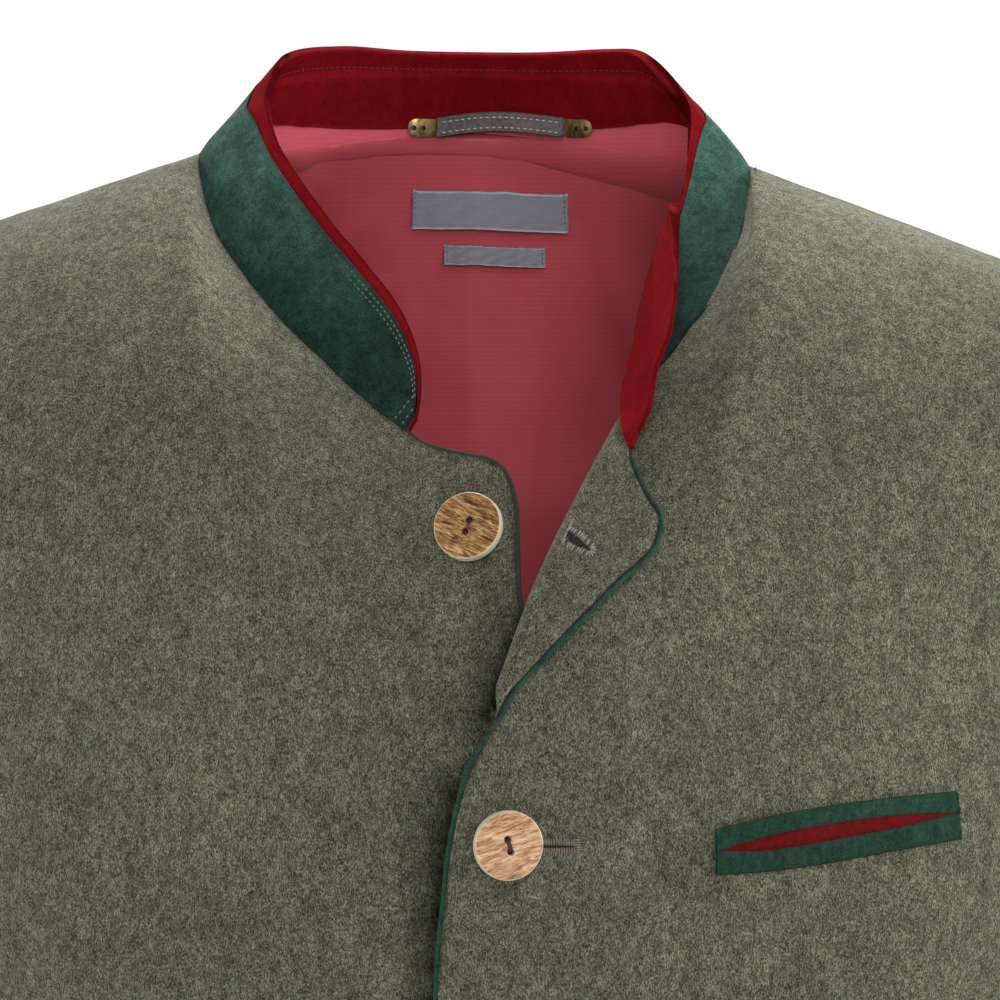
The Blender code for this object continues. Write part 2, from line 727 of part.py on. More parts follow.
def make_corner():
    def place(u, v, depth):
        span = ROLL_PART if u < ROLL_PART else 1 - ROLL_PART
        return corner_point((u - ROLL_PART) / span, v, depth)
    wall("corner_left", "loden", place, CORNER_COLUMNS, CORNER_ROWS, CORNER_WALL)


# ------------------------------------------------------------------ collar
def collar_point(share, height, depth):
    """The collar's outer face: height is 0 at the seam and 1 at the green felt's edge."""
    x, y, z, swell = spline(COLLAR, share)
    top = Vector((x, y, z))
    seam = Vector(spline(COLLAR_TIP if share > COLLAR_TIP[0][0] else NECK, share))
    middle = (seam + top) / 2 + Vector((seam.x, seam.y, 0)).normalized() * swell
    rise = (middle - seam).normalized()
    seam = seam + rise * (COLLAR_LIFT + CURL_LIFT * ease((share - CURL_START) / CURL_SPAN))
    point = (seam * (1 - height) * (1 - 2 * height) + middle * 4 * height * (1 - height)
             + top * height * (2 * height - 1))
    return point if depth == 0 else point - collar_out(share, height) * depth


def collar_out(share, height):
    """The direction out of the collar, kept steady over its left tip."""
    step, rise = COLLAR_STEPS
    share = min(share, TIP_STEADY)
    low, high = max(share - step, 0.0), min(share + step, 1.0)
    ahead = collar_point(high, height, 0) - collar_point(low, height, 0)
    up = collar_point(share, height + rise, 0) - collar_point(share, height - rise, 0)
    return up.cross(ahead).normalized()


def make_collar():
    def green(u, v, depth):
        return settle(collar_point(u, v, depth))

    def red(u, v, depth):
        height = v * (COLLAR_ROWS + 1) / COLLAR_ROWS
        if height > 1:
            height = 1 + (height - 1) * COLLAR_ROWS * (RED_EDGE - 1)
        return settle(collar_point(u, height, FELT + GAP + depth))
    wall("collar_outer", "green_felt", green, COLLAR_COLUMNS, COLLAR_ROWS, FELT)
    wall("collar_inner", "red_felt", red, COLLAR_COLUMNS, COLLAR_ROWS + 1, FELT)


# ------------------------------------------------------------------ piping
def make_piping():
    """A felt cord along each front edge, from the collar to the hem."""
    right = []
    for step in range(PIPING_TOP_POINTS):
        share = neck_front_share(PIPING_TOP_START - PIPING_TOP_STEP * step)
        point = body("right", share, TOP_RISE, -LODEN / 2)
        below = body("right", share, BELOW_TOP, -LODEN / 2)
        right.append(point + (point - below).normalized() * CORD_OUT * PIPING_TOP_OUT)
    top = front_point("right", 0.0, TOP_RISE, -LODEN / 2)
    across = front_point("right", PIPING_CORNER_BESIDE, TOP_RISE, -LODEN / 2)
    below = front_point("right", 0.0, BELOW_TOP, -LODEN / 2)
    corner = (top - across).normalized() + (top - below).normalized()
    right.append(top + corner.normalized() * CORD_OUT * PIPING_CORNER_OUT)
    right += [edge_cord("right", 1 - step / FRONT_ROWS) for step in range(1, FRONT_ROWS + 1)]
    cord("piping_right", "green_felt", right, PIPING_R)

    left = [corner_cord(1 - step / CORNER_ROWS) for step in range(CORNER_ROWS)]
    left += [on_front("left", *LAP_CROSSING[0], CORD_OUT),
             on_front("left", *LAP_CROSSING[1], PIPING_R + 2 * GAP),
             on_front("left", *LAP_CROSSING[2], PIPING_R * LAP_SINK)]
    first = int(find("left", *LAP_CROSSING[3])[1] * FRONT_ROWS)
    left += [edge_cord("left", step / FRONT_ROWS) for step in range(first, -1, -1)]
    cord("piping_left", "green_felt", left, PIPING_R)


def neck_front_share(neck):
    return NECK_SHARE * (neck - NECK_FRONTS[0]) / (NECK_RIGHT_SIDE - NECK_FRONTS[0])


def edge_cord(panel, rise):
    """The middle of the cord beside a front edge."""
    edge = front_point(panel, 0.0, rise, -LODEN / 2)
    inside = front_point(panel, PIPING_BESIDE, rise, -LODEN / 2)
    return edge + (edge - inside).normalized() * CORD_OUT


def corner_cord(share):
    """The middle of the cord beside the turned corner's edge."""
    edge, _ = corner_line(share, 2)
    out = 2 * GAP + CORNER_WALL / 2 + CORNER_LIFT * ease(share * CORNER_LIFT_RISE)
    return on_front("left", *edge, out)


# ------------------------------------------------------------------ buttons
def button_mesh():
    """A flat horn disc with two thread holes, its back on z = 0."""
    bm = bmesh.new()
    bmesh.ops.create_circle(bm, segments=BUTTON_SIDES, radius=BUTTON_R)
    for side in (-1, 1):
        middle = Matrix.Translation((0, side * BUTTON_HOLE_APART / 2, 0))
        bmesh.ops.create_circle(bm, segments=HOLE_SIDES, radius=BUTTON_HOLE_R, matrix=middle)
    bmesh.ops.triangle_fill(bm, edges=bm.edges, use_beauty=True)
    grown = bmesh.ops.extrude_face_region(bm, geom=list(bm.faces), use_keep_orig=True)
    raised = [e for e in grown["geom"] if isinstance(e, bmesh.types.BMVert)]
    bmesh.ops.translate(bm, vec=(0, 0, BUTTON_T), verts=raised)
    bmesh.ops.recalc_face_normals(bm, faces=bm.faces)
    mesh = bpy.data.meshes.new("button")
    bm.to_mesh(mesh)
    bm.free()
    return mesh


def facing(panel, x, z, out):
    """A frame whose z points out of a front and whose y points up along it."""
    place = on_front(panel, x, z, out)
    normal = (on_front(panel, x, z, 0.01) - on_front(panel, x, z, 0.0)).normalized()
    aside = Vector((0, 0, 1)).cross(normal).normalized()
    up = normal.cross(aside)
    turned = Matrix((aside, up, normal)).transposed().to_4x4()
    return Matrix.Translation(place) @ turned


def make_buttons():
    mesh = button_mesh()
    places = [("right", 0.0031, -0.1294)]
    places += [("left", 0.0038, -0.2309 - BUTTON_STEP * step) for step in range(4)]
    for count, (panel, x, z) in enumerate(places, 1):
        button = add_object("button_%d" % count, mesh, "horn")
        button.matrix_world = facing(panel, x, z, 2 * GAP)


# ------------------------------------------------------------------ pocket
def make_pocket():
    length = POCKET_END - POCKET_START

    def strip(upper, lower, start, end):
        """Points of a strip between two columns of the pocket table."""
        def place(u, v, depth):
            x = POCKET_START + length * (start + (end - start) * u)
            row = spline(POCKET, x)
            z = row[lower] + (row[upper] - row[lower]) * v
            return x, z, GAP + WELT_WALL - depth
        return place

    def over_front(strip_place):
        def place(u, v, depth):
            x, z, out = strip_place(u, v, depth)
            return on_front("left", x, z + TRIM * (1 - 2 * v), out)
        return place
    margin = INSET_MARGIN / length
    strips = (
        ("welt_upper", "green_felt", strip(0, 1, 0, 1)),
        ("welt_lower", "green_felt", strip(2, 3, 0, 1)),
        ("pocket_inset", "red_felt", strip(1, 2, margin, 1 - margin)),
    )
    for name, finish, place in strips:
        wall(name, finish, over_front(place), POCKET_COLUMNS, WELT_FACES, WELT_WALL)


# ------------------------------------------------------------------ inside the neck
def inside_back(x, z, depth):
    """A point on the wearer's side of the lining at one x and one height."""
    panel = "back_left" if x >= 0 else "back_right"
    share, rise = find(panel, max(abs(x), 0.0004), z)
    return body(panel, share, rise, -(LODEN + LINING_GAP + SATIN + LABEL_GAP) - depth)


def make_label(name, left, right, low, high):
    def place(u, v, depth):
        return inside_back(left + (right - left) * u, low + (high - low) * v, depth)
    wall(name, "label", place, *LABEL_FACES, LABEL_WALL)


def make_hanger():
    """A leather loop between two brass tabs, sewn over the seam of the inner collar."""
    def inner(share, height, out):
        face = 2 * FELT + GAP
        return (collar_point(share, height, face + out), -collar_out(share, height))

    def make_tab(name, share, height):
        middle, away = inner(share, height, TAB_SIZE[1] / 2 + 3 * GAP)
        bm = bmesh.new()
        bmesh.ops.create_cube(bm, size=1.0, matrix=Matrix.Diagonal((*TAB_SIZE, 1)))
        aside = Vector((0, 0, 1)).cross(away).normalized()
        up = away.cross(aside)
        turned = Matrix((aside, away, up)).transposed().to_4x4()
        bmesh.ops.transform(bm, matrix=Matrix.Translation(middle) @ turned, verts=bm.verts)
        for vert in bm.verts:
            vert.co = settle(vert.co)
        finish_mesh(name, bm, "brass")
    for side, share, height in zip(("right", "left"), TAB_SHARES, TAB_HEIGHTS):
        make_tab("hanger_tab_" + side, share, height)

    def strap(u, v, depth):
        first, last = TAB_SHARES
        share = first + TAB_INSET + (last - first - 2 * TAB_INSET) * u
        bow = math.sin(math.pi * u)
        out = 4 * GAP + STRAP_WALL - depth + STRAP_BOW * bow
        height = TAB_HEIGHTS[0] + (TAB_HEIGHTS[1] - TAB_HEIGHTS[0]) * u
        point, _ = inner(share, height, out)
        return settle(point) + Vector((0, 0, STRAP_HEIGHT * (v - 0.5) + STRAP_RISE * bow))
    wall("hanger_strap", "leather", strap, *STRAP_FACES, STRAP_WALL)


def main():
    clear_scene()
    make_front("right")
    make_front("left")
    make_corner()
    make_back()
    make_lining()
    make_sleeve("right")
    make_sleeve("left")
    make_collar()
    make_piping()
    make_buttons()
    make_pocket()
    for name, left, right, low, high in LABELS:
        make_label(name, left, right, low, high)
    make_hanger()


main()
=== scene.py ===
"""Looks of a tyrolean loden jacket, laid out as a Blender add-on.

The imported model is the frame. Every cloth piece is a thin shell on its solid's own form, with
the creases, sewing and nap that the solids leave out. Metres, +Z up, the front faces -Y.
"""
import math

import bmesh
import bpy
import numpy as np
from bpy.props import FloatProperty, PointerProperty
from mathutils import Matrix, Vector


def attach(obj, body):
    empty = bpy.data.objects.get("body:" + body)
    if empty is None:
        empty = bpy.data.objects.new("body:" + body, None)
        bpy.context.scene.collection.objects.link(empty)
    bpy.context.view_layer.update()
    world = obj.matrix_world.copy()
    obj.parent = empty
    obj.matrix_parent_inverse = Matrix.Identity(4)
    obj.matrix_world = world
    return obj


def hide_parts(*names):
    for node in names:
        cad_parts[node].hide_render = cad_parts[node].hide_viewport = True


bl_info = {
    "name": "Loden Jacket",
    "version": (1, 0, 0),
    "blender": (4, 5, 0),
    "location": "3D View > Sidebar > Jacket",
    "description": "Cloth, felt, sewing, horn buttons and stage of a loden jacket",
    "category": "Object",
}

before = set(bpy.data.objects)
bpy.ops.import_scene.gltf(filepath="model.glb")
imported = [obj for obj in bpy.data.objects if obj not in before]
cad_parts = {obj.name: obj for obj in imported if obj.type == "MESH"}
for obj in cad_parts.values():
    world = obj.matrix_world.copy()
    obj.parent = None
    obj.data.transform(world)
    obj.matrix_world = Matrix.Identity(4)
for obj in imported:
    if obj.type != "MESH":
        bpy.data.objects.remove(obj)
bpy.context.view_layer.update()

# ------------------------------------------------------------------ the jacket's own sizes
# Walls and gaps
LODEN = 0.0020
CORNER_WALL = 0.0024
FELT = 0.0018
WELT_WALL = 0.0015
SATIN = 0.0010
GAP = 0.0003
LINING_GAP = 0.0008
LABEL_GAP = 0.0014
COLLAR_LIFT = 0.0003
CURL_LIFT = 0.0024
CURL_START = 0.86
CURL_SPAN = 0.05

# Heights, and how a panel is shared out
HEM_Z = -0.700
YOKE_Z = -0.262
NECK_SHARE = 0.4
SHOULDER_SHARE = 0.6
HEM_SHARE = 0.46
SEAM_SHARE = 0.9995
BACK_ROWS = 16
BELOW_YOKE = 0.02
RISE_REACH = 1.1

# Small steps for measuring directions, and where a search for a point starts and stops
SLEEVE_STEP = 0.01
CORNER_STEP = 0.01
COLLAR_STEP = 0.002
UP_STEP = 0.02
FIND_STEP = 0.0004
FIND_START = (0.2, 0.6)
SHARE_RANGE = (0.002, 0.995)
RISE_RANGE = (0.001, 0.9985)

PIPING_R = 0.0016
CORD_OUT = PIPING_R + GAP
ROLL_R = LODEN / 2 + 2 * GAP + CORNER_WALL

SQUARENESS = 2.5
BODY = (
    # height, half width, front depth, back depth
    (-0.700, 0.230, 0.127, 0.131),
    (-0.600, 0.220, 0.125, 0.129),
    (-0.500, 0.208, 0.122, 0.119),
    (-0.400, 0.199, 0.122, 0.107),
    (-0.310, 0.200, 0.127, 0.113),
    (-0.262, 0.203, 0.130, 0.120),
)
COLUMNS = (
    # share of the panel, front angle, back angle
    (0.0, -10.5, 0.0),
    (NECK_SHARE, 38.0, 36.0),
    (SHOULDER_SHARE, 63.0, 60.0),
    (1.0, 90.0, 90.0),
)
NECK = (
    # share, x, y, z
    (-0.1000, 0.0160, -0.1020, -0.1060),
    (-0.0500, -0.0020, -0.0990, -0.1038),
    (-0.0120, -0.0170, -0.0945, -0.1003),
    (0.0000, -0.0218, -0.0920, -0.0970),
    (0.0375, -0.0376, -0.0815, -0.0845),
    (0.0850, -0.0565, -0.0685, -0.0668),
    (0.1180, -0.0684, -0.0580, -0.0550),
    (0.1535, -0.0797, -0.0465, -0.0410),
    (0.1910, -0.0892, -0.0315, -0.0265),
    (0.2336, -0.0945, -0.0130, -0.0095),
    (0.2600, -0.0957, 0.0000, 0.0000),
    (0.3145, -0.0867, 0.0275, 0.0026),
    (0.3786, -0.0615, 0.0498, 0.0085),
    (0.4440, -0.0296, 0.0618, 0.0131),
    (0.5000, 0.0000, 0.0650, 0.0145),
    (0.5560, 0.0296, 0.0618, 0.0131),
    (0.6214, 0.0615, 0.0498, 0.0085),
    (0.6855, 0.0867, 0.0275, 0.0026),
    (0.7400, 0.0957, 0.0000, 0.0000),
    (0.7742, 0.0945, -0.0165, -0.0125),
    (0.8130, 0.0905, -0.0345, -0.0270),
    (0.8614, 0.0815, -0.0545, -0.0465),
    (0.8931, 0.0732, -0.0665, -0.0590),
    (0.9253, 0.0640, -0.0785, -0.0712),
    (0.9640, 0.0492, -0.0895, -0.0857),
    (0.9920, 0.0360, -0.0955, -0.0945),
    (1.0310, 0.0150, -0.1010, -0.1035),
    (1.0830, -0.0160, -0.1035, -0.1080),
)
NECK_ENDS = {
    # where the columns of a panel start and end on the neckline
    "right": (-0.100, 0.26),
    "left": (1.083, 0.74),
    "back_right": (0.50, 0.26),
    "back_left": (0.50, 0.74),
}
SIDE_NECK = (0.0957, 0.0, 0.0)
SHOULDER_POINT = (0.2320, 0.0, -0.0480)
FRONT_RISE = (
    # share of the panel, x, y, z, drawn in
    (0.0, 0.0, 0.42, 0.90, 0.0),
    (NECK_SHARE, 0.0, 0.97, 0.24, 0.0),
    (0.50, 0.0, 1.00, 0.06, 0.008),
    (SHOULDER_SHARE, 0.0, 1.00, 0.04, 0.019),
    (0.68, 0.20, 0.75, 0.60, 0.012),
    (0.74, 0.20, 0.55, 0.80, 0.005),
    (0.80, 0.20, 0.40, 0.88, 0.001),
    (1.0, 0.0, 0.05, 1.00, 0.0),
)
BACK_RISE = (
    # share of the panel, x, y, z, drawn in
    (0.0, 0.0, -0.45, 0.89, 0.0),
    (NECK_SHARE, 0.0, -0.98, 0.17, 0.0),
    (0.50, 0.0, -1.00, 0.06, 0.005),
    (SHOULDER_SHARE, 0.0, -1.00, 0.04, 0.012),
    (0.68, 0.15, -0.75, 0.60, 0.008),
    (0.74, 0.15, -0.55, 0.80, 0.004),
    (0.80, 0.15, -0.40, 0.90, 0.001),
    (1.0, 0.0, -0.05, 1.00, 0.0),
)
DRAW_PEAK = 6.75
EDGES = {
    # height, x
    "right": (
        (-0.7000, -0.0200),
        (-0.2620, -0.0195),
        (-0.2000, -0.0160),
        (-0.1500, -0.0112),
        (-0.1220, -0.0117),
        (-0.1130, -0.0103),
        (-0.1075, -0.0077),
        (-0.1045, -0.0026),
        (-0.1020, 0.0045),
    ),
    "left": (
        (-0.7000, -0.0200),
        (-0.2834, -0.0192),
        (-0.2402, -0.0154),
        (-0.2260, -0.0128),
        (-0.2165, -0.0101),
        (-0.2075, -0.0068),
        (-0.1995, -0.0020),
        (-0.1943, 0.0006),
        (-0.1738, 0.0103),
        (-0.1532, 0.0191),
        (-0.1362, 0.0274),
        (-0.1172, 0.0373),
        (-0.1001, 0.0464),
        (-0.0920, 0.0500),
        (-0.0850, 0.0525),
        (-0.0780, 0.0550),
    ),
}
CORNER = (
    # share, roll x, roll z, edge x, edge z
    (0.00, -0.0012, -0.1890, 0.0050, -0.1870),
    (0.15, 0.0030, -0.1795, 0.0170, -0.1755),
    (0.32, 0.0085, -0.1670, 0.0310, -0.1622),
    (0.50, 0.0150, -0.1520, 0.0450, -0.1488),
    (0.66, 0.0215, -0.1385, 0.0560, -0.1375),
    (0.80, 0.0290, -0.1235, 0.0603, -0.1265),
    (0.90, 0.0375, -0.1075, 0.0578, -0.1185),
    (1.00, 0.0485, -0.0880, 0.0530, -0.1060),
)
CORNER_LIFT = 0.0035
LIFT_SHARE = 0.4
ROLL_END = 0.1
ROLL_TAPER = 0.16
BESIDE_ROLL = 0.002
LAP_CROSSING = ((0.0028, -0.1918), (-0.0032, -0.1995), (-0.0080, -0.2075), (-0.0112, -0.2165))
COLLAR = (
    # share of the neckline, x, y, z, swell
    (0.0000, -0.0212, -0.0912, -0.0935, 0.0000),
    (0.0120, -0.0195, -0.0870, -0.0840, 0.0002),
    (0.0250, -0.0200, -0.0800, -0.0725, 0.0010),
    (0.0450, -0.0262, -0.0695, -0.0580, 0.0015),
    (0.0850, -0.0392, -0.0575, -0.0416, 0.0020),
    (0.1180, -0.0503, -0.0475, -0.0289, 0.0020),
    (0.1535, -0.0619, -0.0365, -0.0136, 0.0020),
    (0.1910, -0.0709, -0.0235, 0.0006, 0.0020),
    (0.2350, -0.0753, -0.0085, 0.0144, 0.0020),
    (0.2750, -0.0755, 0.0060, 0.0220, 0.0020),
    (0.3145, -0.0700, 0.0215, 0.0330, 0.0020),
    (0.3786, -0.0500, 0.0405, 0.0378, 0.0020),
    (0.4440, -0.0245, 0.0515, 0.0380, 0.0015),
    (0.5000, 0.0000, 0.0545, 0.0383, 0.0015),
    (0.5560, 0.0245, 0.0515, 0.0384, 0.0015),
    (0.6214, 0.0505, 0.0405, 0.0388, 0.0020),
    (0.6520, 0.0615, 0.0320, 0.0375, 0.0020),
    (0.6855, 0.0710, 0.0215, 0.0304, 0.0020),
    (0.7250, 0.0778, 0.0095, 0.0205, 0.0020),
    (0.7650, 0.0785, 0.0010, 0.0125, 0.0015),
    (0.7900, 0.0768, -0.0080, 0.0036, 0.0005),
    (0.8150, 0.0741, -0.0180, -0.0088, -0.0015),
    (0.8380, 0.0700, -0.0320, -0.0231, -0.0060),
    (0.8650, 0.0667, -0.0530, -0.0371, -0.0110),
    (0.8931, 0.0647, -0.0740, -0.0523, -0.0130),
    (0.9150, 0.0635, -0.0890, -0.0645, -0.0120),
    (0.9430, 0.0602, -0.0975, -0.0771, -0.0080),
    (0.9700, 0.0566, -0.1060, -0.0894, -0.0030),
    (1.0000, 0.0518, -0.1125, -0.0985, 0.0000),
)
COLLAR_TIP = (
    # share of the neckline, x, y, z
    (0.9253, 0.0640, -0.0785, -0.0712),
    (0.9500, 0.0578, -0.0865, -0.0780),
    (0.9700, 0.0536, -0.0965, -0.0838),
    (0.9850, 0.0528, -0.1040, -0.0885),
    (1.0000, 0.0532, -0.1085, -0.0940),
)
TIP_STEADY = 0.975
RED_EDGE = 1.12
RED_END = 0.004
END_STEADY = 0.018
OVER_END = 0.93
OVER_FELT = 0.95
ROLL_FROM = 0.60
GREEN_FOOT = -0.03
ARMHOLE_Z = -0.1415
ARMHOLE_HALF_HEIGHT = 0.0935
ARMHOLE_FRONT = 0.062
ARMHOLE_BACK = 0.070
ARMHOLE_X = (0.20725, 0.0145, 0.01025, 0.0070)
SLEEVE = (
    # share, outer x, outer z, inner x, inner z, centre y, front half, back half
    (0.00, 0.2320, -0.0480, 0.2030, -0.2350, 0.000, 0.062, 0.070),
    (0.05, 0.2570, -0.0545, 0.2090, -0.2395, 0.000, 0.066, 0.071),
    (0.11, 0.2830, -0.0740, 0.2140, -0.2480, 0.000, 0.069, 0.071),
    (0.18, 0.3050, -0.1090, 0.2170, -0.2620, 0.000, 0.070, 0.070),
    (0.27, 0.3210, -0.1640, 0.2180, -0.2850, -0.001, 0.068, 0.068),
    (0.38, 0.3290, -0.2380, 0.2170, -0.3250, -0.003, 0.065, 0.066),
    (0.50, 0.3320, -0.3250, 0.2180, -0.3850, -0.005, 0.062, 0.063),
    (0.62, 0.3330, -0.4150, 0.2220, -0.4550, -0.010, 0.059, 0.060),
    (0.80, 0.3330, -0.5350, 0.2310, -0.5560, -0.022, 0.053, 0.054),
    (1.00, 0.3320, -0.6520, 0.2420, -0.6520, -0.038, 0.047, 0.047),
)
CAP_SHARE = 0.15

# Folds: the large ones of the solids, then the finer creases of the cloth
FOLDS = {
    # x, z, lean in degrees, length, width, height
    "front": (
        (0.150, -0.185, 55, 0.060, 0.018, -0.0030),
        (0.125, -0.330, 78, 0.100, 0.024, 0.0030),
        (0.172, -0.430, 84, 0.110, 0.022, -0.0045),
        (0.090, -0.560, 88, 0.120, 0.030, 0.0030),
        (0.150, -0.620, 86, 0.090, 0.024, -0.0035),
    ),
    "back": (
        (0.165, -0.215, 58, 0.060, 0.018, -0.0040),
        (0.060, -0.420, 86, 0.130, 0.026, -0.0050),
        (0.125, -0.470, 82, 0.120, 0.024, 0.0040),
        (0.030, -0.600, 88, 0.100, 0.028, 0.0040),
        (0.105, -0.625, 86, 0.080, 0.022, -0.0045),
    ),
}
CREASES = {
    # x, z, lean in degrees, length, width, height
    "right": (
        (0.112, -0.108, -38, 0.050, 0.012, -0.0010),
        (0.085, -0.165, -52, 0.045, 0.014, 0.0009),
        (0.128, -0.215, -28, 0.040, 0.012, -0.0008),
        (0.060, -0.240, 82, 0.050, 0.010, -0.0008),
        (0.165, -0.275, -62, 0.045, 0.010, -0.0014),
        (0.178, -0.330, -20, 0.030, 0.008, 0.0012),
        (0.045, -0.380, 84, 0.080, 0.013, -0.0012),
        (0.105, -0.430, 76, 0.060, 0.012, -0.0010),
        (0.030, -0.520, 88, 0.070, 0.012, 0.0011),
        (0.115, -0.610, 84, 0.060, 0.013, 0.0012),
        (0.060, -0.655, 87, 0.050, 0.012, -0.0012),
    ),
    "left": (
        (0.118, -0.102, -34, 0.045, 0.013, -0.0011),
        (0.096, -0.150, -48, 0.050, 0.013, 0.0009),
        (0.140, -0.196, -20, 0.035, 0.010, -0.0009),
        (0.048, -0.228, 70, 0.045, 0.011, -0.0009),
        (0.118, -0.268, -12, 0.050, 0.011, -0.0007),
        (0.168, -0.300, -58, 0.040, 0.010, -0.0013),
        (0.052, -0.335, 82, 0.060, 0.011, 0.0010),
        (0.180, -0.352, -25, 0.030, 0.008, 0.0012),
        (0.080, -0.450, 80, 0.070, 0.013, -0.0012),
        (0.035, -0.575, 86, 0.080, 0.012, -0.0010),
        (0.100, -0.648, 88, 0.045, 0.012, 0.0013),
    ),
    "back_right": (
        (0.110, -0.090, 24, 0.050, 0.012, -0.0014),
        (0.150, -0.150, 62, 0.045, 0.011, -0.0016),
        (0.055, -0.130, 8, 0.045, 0.012, -0.0008),
        (0.172, -0.290, -55, 0.045, 0.010, -0.0016),
        (0.150, -0.345, -35, 0.045, 0.010, 0.0012),
        (0.020, -0.370, 88, 0.090, 0.013, -0.0013),
        (0.090, -0.530, 82, 0.070, 0.013, 0.0013),
        (0.160, -0.560, 86, 0.070, 0.014, -0.0016),
        (0.055, -0.650, 89, 0.050, 0.012, -0.0012),
    ),
    "back_left": (
        (0.118, -0.084, 20, 0.055, 0.012, -0.0015),
        (0.145, -0.160, 58, 0.050, 0.012, -0.0014),
        (0.045, -0.115, 12, 0.050, 0.013, -0.0009),
        (0.168, -0.305, -48, 0.050, 0.011, -0.0015),
        (0.140, -0.365, -30, 0.040, 0.010, 0.0013),
        (0.035, -0.440, 86, 0.080, 0.013, 0.0012),
        (0.100, -0.575, 84, 0.060, 0.012, -0.0013),
        (0.168, -0.600, 87, 0.060, 0.013, 0.0014),
        (0.015, -0.660, 88, 0.045, 0.012, -0.0011),
    ),
}
SLEEVE_FOLDS = (
    # turn in degrees, share, lean of the fold, turn width, share width, height
    (70, 0.52, 0.0012, 50, 0.030, -0.0045),
    (110, 0.60, -0.0010, 55, 0.028, -0.0050),
    (85, 0.69, 0.0008, 45, 0.030, -0.0035),
    (250, 0.56, 0.0008, 40, 0.035, -0.0030),
    (200, 0.36, 0.0010, 40, 0.030, -0.0035),
    (150, 0.84, -0.0006, 60, 0.030, 0.0025),
)
SLEEVE_CREASES = {
    # turn in degrees, share, lean of the crease, turn width, share width, height
    "right": (
        (40, 0.47, 0.0014, 34, 0.012, 0.0016),
        (95, 0.555, -0.0008, 40, 0.012, 0.0020),
        (60, 0.63, 0.0009, 36, 0.011, -0.0015),
        (130, 0.655, -0.0012, 40, 0.012, 0.0016),
        (105, 0.745, 0.0006, 44, 0.013, -0.0014),
        (215, 0.43, 0.0012, 36, 0.012, -0.0016),
        (165, 0.30, 0.0016, 34, 0.014, -0.0018),
        (170, 0.22, 0.0020, 30, 0.013, 0.0014),
        (300, 0.62, -0.0010, 36, 0.014, -0.0012),
        (20, 0.80, 0.0007, 50, 0.015, -0.0012),
        (190, 0.90, -0.0006, 50, 0.014, -0.0012),
    ),
    "left": (
        (50, 0.49, 0.0010, 38, 0.013, 0.0017),
        (88, 0.575, -0.0012, 36, 0.012, 0.0018),
        (70, 0.655, 0.0012, 34, 0.011, -0.0016),
        (120, 0.70, -0.0007, 44, 0.012, 0.0014),
        (95, 0.77, 0.0009, 40, 0.014, -0.0013),
        (225, 0.46, 0.0009, 40, 0.013, -0.0017),
        (160, 0.27, 0.0018, 32, 0.013, -0.0017),
        (180, 0.20, 0.0014, 30, 0.012, 0.0012),
        (290, 0.58, -0.0008, 40, 0.015, -0.0013),
        (30, 0.86, 0.0005, 54, 0.014, 0.0011),
        (210, 0.88, -0.0008, 46, 0.015, -0.0013),
    ),
}
LAP_LIFT = (
    # height, lift at the edge
    (-0.700, 0.0036),
    (-0.270, 0.0040),
    (-0.205, 0.0060),
    (-0.150, 0.0060),
    (-0.120, 0.0020),
    (-0.090, 0.0000),
)
LAP_HOLD = 0.026
LAP_FADE = 0.060
POCKET = (
    # x, top, top of the inset, bottom of the inset, bottom
    (0.0724, -0.2265, -0.2338, -0.2338, -0.2411),
    (0.0855, -0.2236, -0.2299, -0.2341, -0.2406),
    (0.1003, -0.2207, -0.2266, -0.2325, -0.2391),
    (0.1169, -0.2184, -0.2242, -0.2298, -0.2367),
    (0.1334, -0.2166, -0.2223, -0.2269, -0.2338),
    (0.1534, -0.2149, -0.2220, -0.2222, -0.2307),
)
POCKET_START = 0.0724
POCKET_END = 0.1534
NECK_SHIFT = -0.008
NECK_ROLL = -0.022
SET_LOW = -0.26
SET_SPAN = 0.20

# ------------------------------------------------------------------ the looks' own sizes
RIPPLES = (
    # length of a wave in metres, its share of the whole
    (0.071, 0.40),
    (0.038, 0.27),
    (0.023, 0.18),
    (0.013, 0.15),
)
RIPPLE_HEIGHT = 0.0004
COLLAR_END = 0.005
NECK_ROUND = 0.024
NECK_ROUND_WIDTH = 0.05
NECK_ROUND_FROM = (0.60, 0.25)
NECK_ROUND_TO = 0.03
# Painted shadow on the right front beside the left front's lapped edge: its reach, how sharply it
# fades, and where it starts under the lap and grows to full
PAINTED_SHADOW_WIDTH = 0.0090
PAINTED_SHADOW_FADE = 1.5
PAINTED_SHADOW_BACK = (0.002, 0.003)
EDGE_SEWING = 0.0016
FRONT_SEWING = 0.012
HEM_SEWING = (0.0034, 0.0019)
HEM_THREAD_R = 0.00026
COLLAR_SEWING = (0.945, 0.885)
END_SEWING = (0.0030, 0.0085)
RED_SEWING = 0.93
TOP_RISE = 0.9992
BELOW_TOP = 0.97
INSIDE_EDGE = 0.02
TOP_CORD_START = 0.125
CORNER_RISES = (0.9992, 0.998, 0.996, 0.993, 0.989, 0.984, 0.978, 0.971, 0.963, 0.954, 0.94,
                0.92)
ROLL_PART = 0.35

# Grids, across and along
FRONT_GRID = (110, 160)
CORNER_GRID = (80, 110)
BACK_GRID = (160, 150)
LINING_GRID = (150, 130)
SLEEVE_GRID = (96, 160)
COLLAR_GRID = (260, 26)
LABEL_GRID = (60, 14)
WELT_GRID = (90, 12)

# Sizes the cloth was cut to: width and length, or a strip's width alone. A declared sheet has
# no side under the narrowest; a narrower strip gives its own area instead.
NARROWEST = 0.0101
CUTS = {
    "front_right": (0.30, 0.66),
    "front_left": (0.29, 0.66),
    "corner": (0.034, 0.100),
    "back": (0.54, 0.70),
    "lining": (0.36, 0.66),
    "sleeve": (0.34, 0.60),
    "collar_outer": (0.37, 0.042),
    "collar_inner": (0.37, 0.047),
    "neck": (0.165, 0.028),
    "welt_upper": 0.0110,
    "welt_lower": 0.0110,
    "pocket_inset": 0.0070,
}

